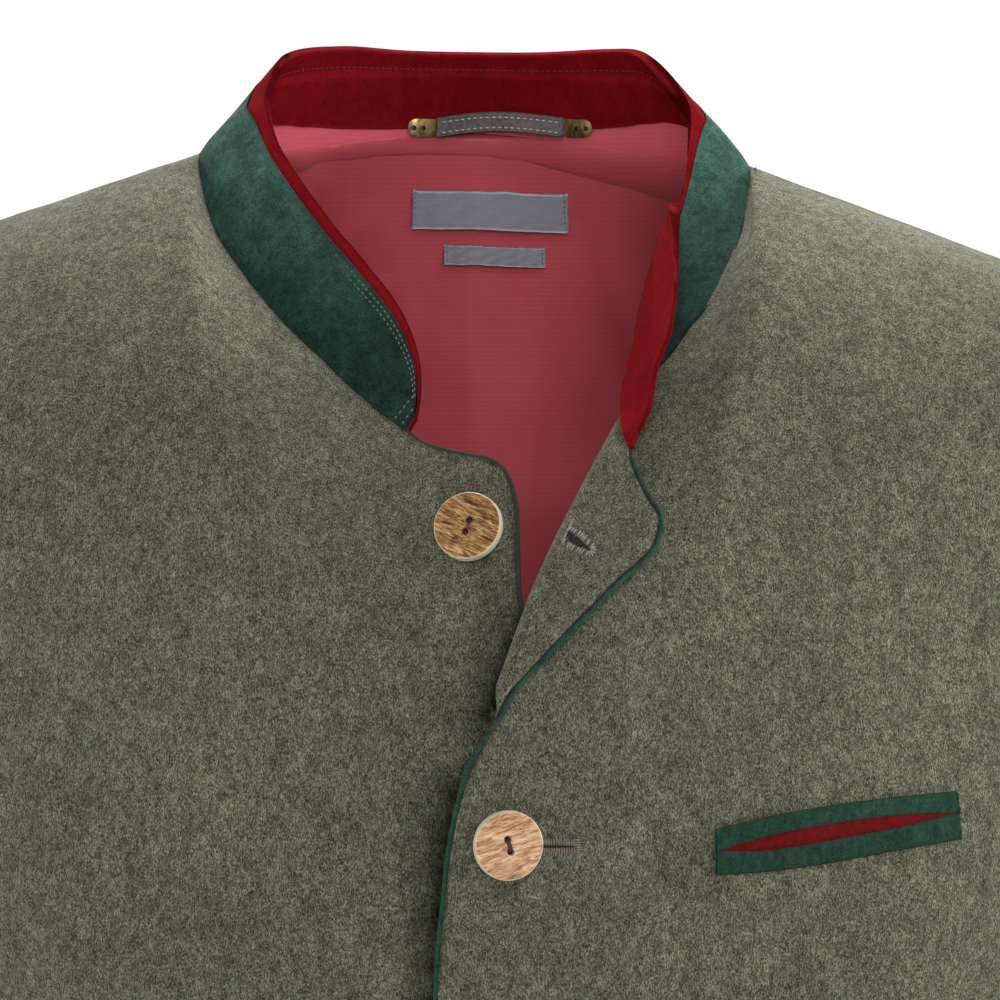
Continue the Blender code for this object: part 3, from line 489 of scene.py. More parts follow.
LINING_CREASES = (
    # x, z, lean in degrees, length, width, height
    (-0.074, -0.018, 62, 0.022, 0.0030, 0.0022),
    (-0.066, -0.036, 48, 0.022, 0.0030, 0.0020),
    (-0.078, -0.040, 75, 0.020, 0.0030, 0.0020),
    (-0.052, -0.048, 30, 0.020, 0.0034, 0.0016),
    (-0.036, -0.066, 84, 0.030, 0.0055, 0.0016),
    (0.030, -0.075, 98, 0.034, 0.0060, 0.0016),
    (0.050, -0.060, 108, 0.034, 0.0045, 0.0022),
    (-0.050, -0.090, 70, 0.032, 0.0050, 0.0016),
    (0.010, -0.125, 88, 0.050, 0.0070, 0.0016),
    (0.050, -0.200, 80, 0.060, 0.0090, 0.0012),
    (-0.060, -0.260, 96, 0.070, 0.0090, 0.0012),
    (0.070, -0.380, 88, 0.080, 0.0100, 0.0014),
    (-0.030, -0.450, 84, 0.090, 0.0100, 0.0012),
    (0.040, -0.560, 92, 0.080, 0.0100, 0.0013),
)
LINING_SLACK = 0.0005
LINING_SEAM_TOP = -0.040
LINING_SEAM_FADE = 0.02
LINING_SEAM = (
    # x, width, height: the seam's ridge and the tuck beside it
    (-0.0026, 0.0012, 0.0007),
    (-0.0004, 0.0011, -0.0004),
)
LINING_WALL = 0.0006
RIBBON_WALL = 0.0005

BUTTON_T = 0.0040
BUTTON_HOLE_R = 0.0011
BUTTON_HOLE_APART = 0.0042
BUTTON_REST = 0.0095
BUTTON_GRID = (96, 46)
BUTTON_TOP_SHARE = 0.70
BUTTON_HOLE_DEPTH = 0.0026
BUTTON_GROOVE = 0.00045
STREAK_STEP = 0.031
BUTTON_THREAD_R = 0.00022
BUTTON_UNEVEN = (0.006, 0.004)
BUTTON_TOP_FADE = 0.04
BUTTON_HOLE_WALL = (0.72, 0.42)
# Where the worn groove starts to fade and how far that takes, across and along it
GROOVE_ACROSS = (0.0004, 0.0006)
GROOVE_ALONG = (0.0018, 0.0008)
GROOVE_SHADE = 0.55

# The four strands of thread over a button
STRANDS = (-1.5, -0.5, 0.5, 1.5)
STRAND_GAP = 0.0003
STRAND_LIFT = 0.0001
STRAND_BOW = 0.0003
STRAND_TURN = 0.72
STRAND_DROP = 0.0016
STRAND_OVER = 1.06

# Buttonholes: the gap between their rows of yarn and the yarn's reach
OPEN_HOLE = (0.0013, 0.0022)
CLOSED_HOLE = (0.0003, 0.0021)
OPEN_SLIT = 0.0015
CLOSED_SLIT = 0.0003
CLOSED_HOLE_START = 0.002
CLOSED_HOLE_DROP = 0.0007
YARN_R = 0.00036
YARN_UNEVEN = 0.16
FAN_COUNT = 7
FAN_FROM = 0.0003
SLIT_GRID = (24, 4)
SLIT_LIFT = 0.00015
SLIT_WALL = 0.0003

# Pocket, labels and strap
INSET_MARGIN = 0.0015
INSET_SUNK = 0.0005
WELT_CROWN = 0.0003
WELT_SOFT = 0.0004
LABEL_BUMP = (0.60, 0.07)
LABEL_BOW = 0.0009
LABEL_BOW_LOW = 0.6
LABEL_WAVE = 0.0003
LABEL_SOFT = 0.00015
LABEL_SEWING = 0.0012
LABEL_SEWING_PITCH = 0.0019
LABEL_STITCH = 0.0011
LABEL_THREAD_R = 0.00022
TAB_THREAD_R = 0.00018
TAB_STRAND_GAP = 0.0003
TAB_HOLE_DEPTH = 0.00012
STRAP_GRID = (60, 8)
STRAP_SOFT = 0.0005
STRAP_SEWING = (0.22, 0.78)
STRAP_STITCH = (0.0022, 0.0014)
DARK_HORN = ((0.045, 0.017, 0.006), (0.27, 0.120, 0.036), (0.62, 0.42, 0.17))
LIGHT_HORN = ((0.21, 0.085, 0.028), (0.50, 0.265, 0.130), (0.70, 0.50, 0.34))
BUTTON_PROFILE = (
    # share from the top's middle to the back's middle, radius, height, paleness
    (0.00, 0.0000, 0.00385, 0.0),
    (0.50, 0.0070, 0.00390, 0.0),
    (0.66, 0.0103, 0.00398, 0.0),
    (0.70, 0.0109, 0.00396, 0.0),
    (0.74, 0.0112, 0.00382, 0.7),
    (0.78, 0.0114, 0.00345, 1.0),
    (0.84, 0.0115, 0.00150, 1.0),
    (0.88, 0.0115, 0.00060, 1.0),
    (0.91, 0.0112, 0.00010, 1.0),
    (0.94, 0.0106, 0.00000, 1.0),
    (1.00, 0.0000, 0.00000, 0.0),
)
BUTTONS = (
    # panel, x, z, turn of the streaks, turn of the holes, lean and nod, in degrees
    ("right", 0.0031, -0.1294, 30, 22, -13, 9),
    ("left", 0.0038, -0.2309, -18, -14, 12, 0),
    ("left", 0.0038, -0.3319, 14, 8, 6, 2),
    ("left", 0.0038, -0.4329, -32, 0, -5, 0),
    ("left", 0.0038, -0.5339, 8, -10, 5, -2),
)
BUTTONHOLE_PITCH = 0.00080
BAR_TACK = (0.0020, 0.0034)
BUTTONHOLE_REACH = 0.0218
OPEN_BUTTONHOLE = ((0.0252, -0.1290), (0.0368, -0.1372))

# The cords as they look, slimmer than their solids and close to the cloth
CORD_R = 0.0010
CORD_STEP = 0.0022
CORD_UNEVEN = 0.05
SEAM_ROLL_R = 0.0012
PIPING_CUT = {"right": 0.70, "left": 0.78}
CORD_BESIDE = 0.0009

# Where the red felt's lower edge runs on the inside of the collar, and the satin below it
RED_FOOT = (
    # share of the neckline, height
    (0.0000, 0.12),
    (0.2300, 0.12),
    (0.2800, -0.10),
    (0.2950, 0.10),
    (0.3145, 0.36),
    (0.3500, 0.27),
    (0.3786, 0.18),
    (0.4100, 0.09),
    (0.4440, 0.03),
    (0.5000, 0.00),
    (0.5560, 0.09),
    (0.5900, 0.17),
    (0.6214, 0.29),
    (0.6500, 0.38),
    (0.6800, 0.40),
    (0.7050, 0.25),
    (0.7300, -0.05),
    (0.7700, 0.06),
    (0.8900, 0.08),
    (0.9100, 0.20),
    (0.9300, 0.50),
    (0.9600, 0.50),
    (1.0000, 0.50),
)
GREEN_TOP = (
    # share of the neckline, height of the green felt's edge
    (0.0000, 1.00),
    (0.1700, 1.00),
    (0.2200, 0.97),
    (0.2600, 0.88),
    (0.3145, 0.84),
    (0.5000, 0.90),
    (0.6900, 0.84),
    (0.7300, 0.88),
    (0.7700, 0.97),
    (0.8200, 1.00),
    (1.0000, 1.00),
)
RED_ROLL = (
    # share of the neckline, how much thicker the red felt's rolled edge is
    (0.0000, 0.0000),
    (0.1900, 0.0002),
    (0.2500, 0.0010),
    (0.3000, 0.0010),
    (0.3500, 0.0003),
    (0.6300, 0.0003),
    (0.6700, 0.0018),
    (0.7000, 0.0032),
    (0.7300, 0.0034),
    (0.7650, 0.0030),
    (0.8000, 0.0028),
    (0.8300, 0.0026),
    (0.8600, 0.0014),
    (0.8900, 0.0000),
    (1.0000, 0.0000),
)
GREEN_END = 0.952
TIP_FOLD = 0.50
TIP_START = 0.905
TIP_SPAN = 0.045
TIP_BLADE = (
    # share of the neckline, x, y and z of the fold, x, y and z of the edge
    (0.905, 0.0517, -0.0700, -0.0660, 0.0640, -0.0900, -0.0590),
    (0.930, 0.0502, -0.0800, -0.0735, 0.0598, -0.1010, -0.0725),
    (0.955, 0.0490, -0.0890, -0.0815, 0.0582, -0.1070, -0.0830),
    (0.975, 0.0486, -0.0990, -0.0885, 0.0556, -0.1105, -0.0905),
    (0.990, 0.0487, -0.1075, -0.0940, 0.0528, -0.1125, -0.0955),
    (1.000, 0.0503, -0.1120, -0.0994, 0.0507, -0.1125, -0.0996),
)
NECK_SATIN = (0.283, 0.722)
NECK_FOOT = -0.42
NECK_UNDER_RED = 0.06
NECK_SET_BACK = 0.0007
NECK_SUNK = 0.0019
NECK_DIVE = 0.0016
NECK_SLOPE = 0.40
NECK_GRID = (140, 14)
GREEN_WAVES = (
    # share of the neckline, width, depth
    (0.060, 0.016, 0.0012),
    (0.095, 0.012, -0.0007),
    (0.150, 0.022, 0.0007),
    (0.205, 0.018, -0.0004),
    (0.860, 0.016, 0.0006),
)
COLLAR_WAVES = (
    # share of the neckline, width, height
    (0.345, 0.010, 0.0010),
    (0.372, 0.008, 0.0012),
    (0.405, 0.011, 0.0007),
    (0.470, 0.014, 0.0004),
    (0.545, 0.013, 0.0006),
    (0.588, 0.010, 0.0010),
    (0.612, 0.008, 0.0012),
    (0.636, 0.008, 0.0009),
)

TAB_SIZE = (0.0100, 0.0010, 0.0066)
TAB_ROUND = 0.0031
TAB_HOLES = (-0.0006, 0.0028)
TAB_HOLE_R = 0.0009
TAB_SHARP = math.radians(40)
TAB_BEVEL = 0.00018
STRAP_HEIGHT = 0.0066
STRAP_WALL = 0.0020
STRAP_BOW = 0.0035
TAB_SHARES = (0.4630, 0.5748)
TAB_INSET = 0.0103
TAB_HEIGHTS = (0.04, 0.15)
STRAP_RISE = 0.002
LABELS = (
    # name, left, right, low, high, height of the bump in the upper edge
    ("label_main", -0.0225, 0.0338, -0.0184, -0.0049, 0.0005),
    ("label_small", -0.0103, 0.0250, -0.0312, -0.0244, 0.0),
)
HEM_STITCH = 0.022
CUFF_STITCH = 0.966

# Stage
CAMERA_PLACE = (0.001, -2.32, -0.1183)
LENS = 240.0
FLOOR_Z = -0.715
FLOOR_REACH = 2.2
LIGHTS_AIM = (0.0, 0.0, -0.12)
SENSOR = 36.0
LIGHTS = (
    # name, place, size, share of the light
    ("front", (0.10, -2.20, 0.30), 1.2, 1.00),
    ("key", (0.55, -1.50, 1.15), 1.0, 0.45),
    ("over_back", (0.00, 0.90, 1.40), 1.0, 1.95),
    ("rear", (0.40, 1.60, 0.60), 1.2, 0.90),
    ("side_left", (-1.50, -0.20, 0.10), 1.0, 0.70),
    ("side_right", (1.50, -0.20, 0.30), 1.0, 1.20),
)

# Ways out of a form, as small steps along it
SMALL = 0.0005
EDGE_TRIES = 24
FIND_TRIES = 14


# ------------------------------------------------------------------ the form, as in the solids
def ease(value):
    """0 to 1 with soft ends."""
    value = np.clip(value, 0.0, 1.0)
    return value * value * (3 - 2 * value)


def unit(vectors):
    return vectors / np.maximum(np.linalg.norm(vectors, axis=-1, keepdims=True), 1e-12)


def spline(rows, at):
    """Smooth values of a table at places of its first column, along a new last axis."""
    table = np.array(rows, float)
    at = np.clip(np.asarray(at, float), table[0, 0], table[-1, 0])
    low = np.clip(np.searchsorted(table[:, 0], at, side="right") - 1, 0, len(table) - 2)
    a, b = table[low], table[low + 1]
    before, after = table[np.maximum(low - 1, 0)], table[np.minimum(low + 2, len(table) - 1)]
    span = (b - a)[..., :1]
    f = (at[..., None] - a[..., :1]) / span
    enter = (b - before) / (b - before)[..., :1]
    leave = (after - a) / (after - a)[..., :1]
    near = a * (2 * f ** 3 - 3 * f ** 2 + 1) + b * (3 * f ** 2 - 2 * f ** 3)
    value = near + span * (enter * (f ** 3 - 2 * f ** 2 + f) + leave * (f ** 3 - f ** 2))
    return value[..., 1:]


def settle(points):
    """The neck sits a little to the wearer's right and rolls towards the left."""
    share = ease((points[..., 2] - SET_LOW) / SET_SPAN)
    moved = points.copy()
    moved[..., 0] += NECK_SHIFT * share
    moved[..., 2] += NECK_ROLL * points[..., 0] * share
    return moved


def section(height, degrees):
    """Points of the level section at some heights, at angles from the centre front."""
    width, front, back = np.moveaxis(spline(BODY, height), -1, 0)
    across, ahead = np.sin(np.radians(degrees)), np.cos(np.radians(degrees))
    depth = np.where(ahead > 0, front, back)
    reach = np.abs(across / width) ** SQUARENESS + np.abs(ahead / depth) ** SQUARENESS
    reach = reach ** (-1 / SQUARENESS)
    return np.stack([reach * across, -reach * ahead, height + 0 * reach], -1)


def armhole(turn):
    """The armhole ring: 0 at the shoulder point, then forwards and down."""
    middle, top_out, hollow, front_in = ARMHOLE_X
    depth = np.where(np.sin(turn) > 0, ARMHOLE_FRONT, ARMHOLE_BACK)
    x = middle + top_out * np.cos(turn) + hollow * np.cos(2 * turn) - front_in * np.sin(turn)
    z = ARMHOLE_Z + ARMHOLE_HALF_HEIGHT * np.cos(turn)
    return np.stack([x, -depth * np.sin(turn), z], -1)


def top_of(panel, share):
    """The upper ends of columns, with x counted towards the panel's own side."""
    start, end = NECK_ENDS[panel]
    neck = spline(NECK, start + (end - start) * share / NECK_SHARE)
    if panel.endswith("right"):
        neck = neck * np.array((-1, 1, 1))
    along = (share - NECK_SHARE) / (SHOULDER_SHARE - NECK_SHARE)
    side, point = np.array(SIDE_NECK), np.array(SHOULDER_POINT)
    shoulder = side + (point - side) * along[..., None]
    turn = math.pi * (share - SHOULDER_SHARE) / (1 - SHOULDER_SHARE)
    arm = armhole(-turn if panel.startswith("back") else turn)
    top = np.where((share < SHOULDER_SHARE)[..., None], shoulder, arm)
    return np.where((share < NECK_SHARE)[..., None], neck, top)


def plain(panel, share, rise):
    """Points of a panel's form before it is lapped, folded or turned to its side."""
    share, rise = np.broadcast_arrays(np.asarray(share, float), np.asarray(rise, float))
    back = panel.startswith("back")
    angles = spline(COLUMNS, share)
    angle = 180 - angles[..., 1] if back else angles[..., 0]
    low = section(HEM_Z + (YOKE_Z - HEM_Z) * np.minimum(rise / HEM_SHARE, 1), angle)
    start = section(YOKE_Z, angle)
    leave = unit(start - section(YOKE_Z - BELOW_YOKE, angle))
    end = top_of(panel, share)
    run = spline(BACK_RISE if back else FRONT_RISE, share)
    arrive, drawn_in = unit(run[..., :3]), run[..., 3]
    reach = np.linalg.norm(end - start, axis=-1, keepdims=True) * RISE_REACH
    f = (np.maximum(rise - HEM_SHARE, 0) / (1 - HEM_SHARE))[..., None]
    high = (start * (2 * f ** 3 - 3 * f ** 2 + 1) + end * (3 * f ** 2 - 2 * f ** 3)
            + leave * reach * (f ** 3 - 2 * f ** 2 + f) + arrive * reach * (f ** 3 - f ** 2))
    high[..., 0] -= drawn_in * DRAW_PEAK * f[..., 0] ** 2 * (1 - f[..., 0])
    return np.where((rise < HEM_SHARE)[..., None], low, high)


def fold_height(folds, x, z):
    """How far folds raise or sink the cloth."""
    height = np.zeros(np.broadcast(x, z).shape)
    for fold_x, fold_z, lean, length, width, depth in folds:
        tilt = math.radians(lean)
        along = (x - fold_x) * math.cos(tilt) + (z - fold_z) * math.sin(tilt)
        across = (z - fold_z) * math.cos(tilt) - (x - fold_x) * math.sin(tilt)
        height += depth * np.exp(-(along / length) ** 2 - (across / width) ** 2)
    return height


def ripple(a, b, seed):
    """Slow unevenness of a hand-pressed cloth, about -1 to 1, over two lengths in metres."""
    total = np.zeros(np.broadcast(a, b).shape)
    for step, (size, share) in enumerate(RIPPLES):
        turn = seed * 1.7 + step * 2.4
        across = a * math.cos(turn) + b * math.sin(turn)
        along = b * math.cos(turn) - a * math.sin(turn)
        bend = 0.6 * np.sin(along * 2 * math.pi / (size * 1.9) + seed + step)
        total += share * np.sin(across * 2 * math.pi / size + bend + seed * step)
    return total


def outward(panel, share, rise):
    """The direction out of the cloth, with x counted towards the panel's own side."""
    ahead = plain(panel, share + SMALL, rise) - plain(panel, share - SMALL, rise)
    up = (plain(panel, share, np.minimum(rise + SMALL, 1))
          - plain(panel, share, np.maximum(rise - SMALL, 0)))
    normal = unit(np.cross(ahead, up))
    return -normal if panel.startswith("back") else normal


def body(panel, share, rise, out=0.0, creased=True):
    """Points of a panel, moved out of the cloth by some distance, on its own side."""
    share, rise = np.broadcast_arrays(np.asarray(share, float), np.asarray(rise, float))
    point = plain(panel, share, rise)
    x, z = point[..., 0], point[..., 2]
    raised = out + fold_height(FOLDS["back" if panel.startswith("back") else "front"], x, z)
    if creased:
        raised = raised + fold_height(CREASES[panel], x, z)
        side = 1 if panel.endswith("left") else -1
        raised = raised + RIPPLE_HEIGHT * ripple(side * x, z, 3.0) * quiet(panel, x)
    if panel == "left":
        raised = raised + (spline(LAP_LIFT, z)[..., 0] * (1 - ease((x - LAP_HOLD) / LAP_FADE)))
    point = point + outward(panel, share, rise) * raised[..., None]
    if panel.endswith("right"):
        point = point * np.array((-1, 1, 1))
    return settle(point)


def quiet(panel, x):
    """1 over free cloth, less near the front edge, where piping and facing hold it flat."""
    if panel.startswith("back"):
        return ease(np.abs(x) / 0.03) * 0.4 + 0.6
    return 0.35 + 0.65 * ease((x - 0.02) / 0.04)


def find(panel, x, z):
    """The shares and rises at which a panel's form has an x and a height."""
    x, z = np.broadcast_arrays(np.asarray(x, float), np.asarray(z, float))
    share, rise = (np.full(x.shape, start) for start in FIND_START)
    step = FIND_STEP
    for _ in range(FIND_TRIES):
        at = plain(panel, share, rise)
        by_share = (plain(panel, share + step, rise) - at) / step
        by_rise = (plain(panel, share, rise + step) - at) / step
        size = by_share[..., 0] * by_rise[..., 2] - by_rise[..., 0] * by_share[..., 2]
        miss_x, miss_z = x - at[..., 0], z - at[..., 2]
        share = share + (miss_x * by_rise[..., 2] - miss_z * by_rise[..., 0]) / size
        rise = rise + (by_share[..., 0] * miss_z - by_share[..., 2] * miss_x) / size
        share, rise = np.clip(share, *SHARE_RANGE), np.clip(rise, *RISE_RANGE)
    return share, rise


def on_front(panel, x, z, out):
    """Points over a front at an x and a height."""
    share, rise = find(panel, x, z)
    return body(panel, share, rise, out)


def edge_share(panel, rise):
    """The share at which a row of a front reaches its front edge."""
    rise = np.asarray(rise, float)
    low, high = np.zeros(rise.shape), np.full(rise.shape, NECK_SHARE * 0.9)
    for _ in range(EDGE_TRIES):
        middle = (low + high) / 2
        point = plain(panel, middle, rise)
        short = point[..., 0] < spline(EDGES[panel], point[..., 2])[..., 0]
        low, high = np.where(short, middle, low), np.where(short, high, middle)
    return (low + high) / 2


def front_point(panel, across, rise, out):
    """Points of a front: across runs from the front edge to the side seam."""
    across, rise = np.broadcast_arrays(np.asarray(across, float), np.asarray(rise, float))
    rows, back_to = np.unique(rise, return_inverse=True)
    edge = edge_share(panel, rows)[back_to].reshape(rise.shape)
    share = np.where(across < NECK_SHARE, edge + (NECK_SHARE - edge) * across / NECK_SHARE, across)
    return body(panel, share, rise, out)


def back_point(u, v, depth):
    """Points of the back: u runs from the wearer's right side seam to the left one."""
    share = np.maximum(np.abs(2 * u - 1) * SEAM_SHARE, 1e-5)
    right = body("back_right", share, v * SEAM_SHARE, -depth)
    left = body("back_left", share, v * SEAM_SHARE, -depth)
    return np.where((u < 0.5)[..., None], right, left)


def sleeve_ring(turn, at):
    outer_x, outer_z, inner_x, inner_z, y, front, back = np.moveaxis(spline(SLEEVE, at), -1, 0)
    outer, inner = np.stack([outer_x, y, outer_z], -1), np.stack([inner_x, y, inner_z], -1)
    half = np.where(np.sin(turn) > 0, front, back)
    middle = (outer + inner) / 2
    point = middle + (outer - inner) / 2 * np.cos(turn)[..., None]
    point[..., 1] -= half * np.sin(turn)
    return point, middle


def sleeve_point(side, turn, share, depth):
    """Points of a sleeve: turn is 0 on the outside, then runs to the front."""
    turn, share = np.broadcast_arrays(np.asarray(turn, float), np.asarray(share, float))
    point, middle = sleeve_ring(turn, share)
    fade = np.maximum(0.0, 1 - share / CAP_SHARE) ** 2
    point = point + (armhole(turn) - sleeve_ring(turn, 0 * share)[0]) * fade[..., None]
    out = -np.asarray(depth, float)
    degrees = np.degrees(turn) % 360
    for fold_turn, fold_share, lean, wide, long, height in SLEEVE_FOLDS + SLEEVE_CREASES[side]:
        off = (degrees - fold_turn + 180) % 360 - 180
        rise = share - fold_share - lean * off
        out = out + height * np.exp(-(off / wide) ** 2 - (rise / long) ** 2)
    around = 0.2 * np.stack([np.cos(turn), np.sin(turn)], -1) / math.pi
    free = ease(share / 0.06)
    out = out + free * RIPPLE_HEIGHT * ripple(around[..., 0] + share * 0.6, around[..., 1], 5.0)
    ahead = sleeve_ring(turn, np.minimum(share + SLEEVE_STEP, 1))[0]
    behind = sleeve_ring(turn, np.maximum(share - SLEEVE_STEP, 0))[0]
    along = unit(ahead - behind)
    away = point - middle
    away = unit(away - along * np.sum(away * along, -1, keepdims=True))
    point = point + away * out[..., None] + np.array((2 * GAP, 0, 0))
    if side == "right":
        point = point * np.array((-1, 1, 1))
    return settle(point)


def corner_line(share, first):
    """Points of the roll line (first 0) or the piped edge (first 2), and the way off it."""
    step = CORNER_STEP
    pick = slice(first, first + 2)
    along = unit(spline(CORNER, share + step)[..., pick] - spline(CORNER, share - step)[..., pick])
    return spline(CORNER, share)[..., pick], np.stack([along[..., 1], -along[..., 0]], -1)


def corner_point(across, share, depth):
    """The turned-back corner: across is below 0 round the roll and 1 at the piped edge."""
    across, share, depth = np.broadcast_arrays(across, share, np.asarray(depth, float))
    roll, inward = corner_line(share, 0)
    edge, off = corner_line(share, 2)
    start, end = roll + inward * ROLL_R, edge - off * CORD_OUT
    shell = CORNER_WALL - depth
    lift = CORNER_LIFT * ease(across) * ease(share / LIFT_SHARE)
    place = start + (end - start) * np.maximum(across, 0)[..., None]
    flat = on_front("left", place[..., 0], place[..., 1], 2 * GAP + shell + lift)
    top = on_front("left", start[..., 0], start[..., 1], 0.0)
    under = on_front("left", start[..., 0], start[..., 1], -LODEN)
    beside = start + inward * BESIDE_ROLL
    ahead = on_front("left", beside[..., 0], beside[..., 1], 0.0)
    middle, out = (top + under) / 2, unit(top - under)
    away = unit(top - ahead)
    turn = (-across * math.pi)[..., None]
    radius = (LODEN / 2 + 2 * GAP + shell)[..., None]
    bulge = radius * (ROLL_END + (1 - ROLL_END) * ease(share / ROLL_TAPER))[..., None]
    rolled = middle + out * radius * np.cos(turn) + away * bulge * np.sin(turn)
    return np.where((across >= 0)[..., None], flat, rolled)


def collar_point(share, height, depth):
    """The collar's outer face: height is 0 at the seam and 1 at the green felt's edge."""
    share, height, depth = np.broadcast_arrays(share, np.asarray(height, float),
                                               np.asarray(depth, float))
    row = spline(COLLAR, share)
    top, swell = row[..., :3], row[..., 3:]
    tip = (share > COLLAR_TIP[0][0])[..., None]
    seam = np.where(tip, spline(COLLAR_TIP, share), spline(NECK, share))
    middle = (seam + top) / 2 + unit(seam * np.array((1, 1, 0))) * swell
    lift = COLLAR_LIFT + CURL_LIFT * ease((share - CURL_START) / CURL_SPAN)
    seam = seam + unit(middle - seam) * lift[..., None]
    h = height[..., None]
    point = (seam * (1 - h) * (1 - 2 * h) + middle * 4 * h * (1 - h) + top * h * (2 * h - 1))
    if not np.any(depth):
        return point
    return point - collar_out(share, height) * depth[..., None]


def collar_out(share, height):
    """The direction out of the collar, kept steady over its left tip."""
    share = np.minimum(share, TIP_STEADY)
    ahead = (collar_point(np.minimum(share + COLLAR_STEP, 1), height, 0)
             - collar_point(np.maximum(share - COLLAR_STEP, 0), height, 0))
    up = collar_point(share, height + UP_STEP, 0) - collar_point(share, height - UP_STEP, 0)
    return unit(np.cross(up, ahead))


def inside_back(x, z, depth):
    """Points on the wearer's side of the lining at an x and a height."""
    x, z, depth = np.broadcast_arrays(np.asarray(x, float), np.asarray(z, float),
                                      np.asarray(depth, float))
    behind = -(LODEN + LINING_GAP + SATIN + LABEL_GAP) - depth
    sides = []
    for panel in ("back_left", "back_right"):
        share, rise = find(panel, np.maximum(np.abs(x), 0.0004), z)
        sides.append(body(panel, share, rise, behind, creased=False))
    return np.where((x >= 0)[..., None], sides[0], sides[1])


# ------------------------------------------------------------------ making pieces
def add_piece(name, mesh, finish, nodes=(), slot=None):
    """Link a mesh, give it a finish, let it ride on the body and stand for its nodes."""
    piece = bpy.data.objects.new(name, mesh)
    bpy.context.scene.collection.objects.link(piece)
    mesh.materials.append(finish)
    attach(piece, "root")
    if nodes:
        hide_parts(*nodes)
    return piece


def mesh_of(bm, name, smooth=True, turn=True):
    """The mesh of a finished bmesh, its faces pointing out."""
    bmesh.ops.recalc_face_normals(bm, faces=bm.faces)
    if turn and bm.calc_volume(signed=True) < 0:
        bmesh.ops.reverse_faces(bm, faces=bm.faces)
    mesh = bpy.data.meshes.new(name)
    bm.to_mesh(mesh)
    bm.free()
    if smooth:
        mesh.shade_smooth()
    return mesh


def doubled_grid(bm, across, along):
    """A grid and its copy one unit behind it, closed all round."""
    bmesh.ops.create_grid(bm, x_segments=across, y_segments=along, size=0.5)
    grown = bmesh.ops.extrude_face_region(bm, geom=list(bm.faces), use_keep_orig=True)
    inner = [e for e in grown["geom"] if isinstance(e, bmesh.types.BMVert)]
    bmesh.ops.translate(bm, vec=(0, 0, 1), verts=inner)


def cut_size(points):
    """Lengths over a grid of points, across and along it, as if it were laid flat."""
    across = np.linalg.norm(np.diff(points, axis=1, prepend=points[:, :1]), axis=-1).cumsum(1)
    along = np.linalg.norm(np.diff(points, axis=0, prepend=points[:1]), axis=-1).cumsum(0)
    middle = points.shape[1] // 2
    return across - across[:, middle:middle + 1], along


def shell_mesh(name, place, across, along, wall, ring=False, soft=0.0006):
    """A closed thin shell. place(u, v, depth) gives its points, depth being 0 outside."""
    bm = bmesh.new()
    doubled_grid(bm, across, along)
    if ring:
        seam = [f for f in bm.faces if all(abs(v.co.x + 0.5) < 1e-6 for v in f.verts)
                or all(abs(v.co.x - 0.5) < 1e-6 for v in f.verts)]
        bmesh.ops.delete(bm, geom=seam, context="FACES")
    rim = [e for e in bm.edges if abs(e.verts[0].co.z - e.verts[1].co.z) < 0.5
           and len({round(abs(f.normal.z)) for f in e.link_faces}) > 1]
    grid = np.array([v.co for v in bm.verts])
    points = place(grid[:, 0] + 0.5, grid[:, 1] + 0.5, grid[:, 2] * wall)
    column = np.round((grid[:, 0] + 0.5) * across).astype(int)
    row = np.round((grid[:, 1] + 0.5) * along).astype(int)
    outside = np.zeros((along + 1, across + 1, 3))
    front = grid[:, 2] < 0.5
    outside[row[front], column[front]] = points[front]
    u, v = (lengths[row, column] + grid[:, 2] * wall for lengths in cut_size(outside))
    flat = bm.loops.layers.uv.new("flat")
    bm.verts.index_update()
    for face in bm.faces:
        for loop in face.loops:
            index = loop.vert.index
            loop[flat].uv = (u[index], v[index])
    for vert, point in zip(bm.verts, points):
        vert.co = point
    if ring:
        bmesh.ops.remove_doubles(bm, verts=bm.verts, dist=1e-6)
    rim = [e for e in rim if e.is_valid]
    bmesh.ops.bevel(bm, geom=rim, offset=soft, offset_type="OFFSET", segments=2, profile=0.5,
                    affect="EDGES", material=-1, clamp_overlap=True)
    return mesh_of(bm, name)


def cloth(name, place, grid, wall, size, finish, nodes, slot, held="draped", **more):
    """One cloth piece: a shell in its place in the frame."""
    options = {key: more.pop(key) for key in ("ring", "soft") if key in more}
    mesh = shell_mesh(name, place, *grid, wall, **options)
    piece = add_piece(name, mesh, finish, nodes, slot)
    flat = tuple(max(side, NARROWEST) for side in size)
    if flat != tuple(size):
        more["area"] = size[0] * size[1]
    return piece


def smooth_path(points, step):
    """Points at about even steps along a smooth curve through given points."""
    points = np.array(points, float)
    chord = np.concatenate([[0], np.cumsum(np.linalg.norm(np.diff(points, axis=0), axis=1))])
    rows = np.concatenate([chord[:, None], points], axis=1)
    count = max(int(chord[-1] / step), 4)
    return spline(rows, np.linspace(0, chord[-1], count + 1))


def frames_along(path):
    """Two directions across a path at each of its points, without twist."""
    ahead = unit(np.gradient(path, axis=0))
    side = np.cross(ahead[0], (0.3, 0.2, 1.0))
    aside = np.zeros_like(path)
    for i, forward in enumerate(ahead):
        side = unit(side - forward * np.dot(side, forward))
        aside[i] = side
    return aside, np.cross(aside, ahead)


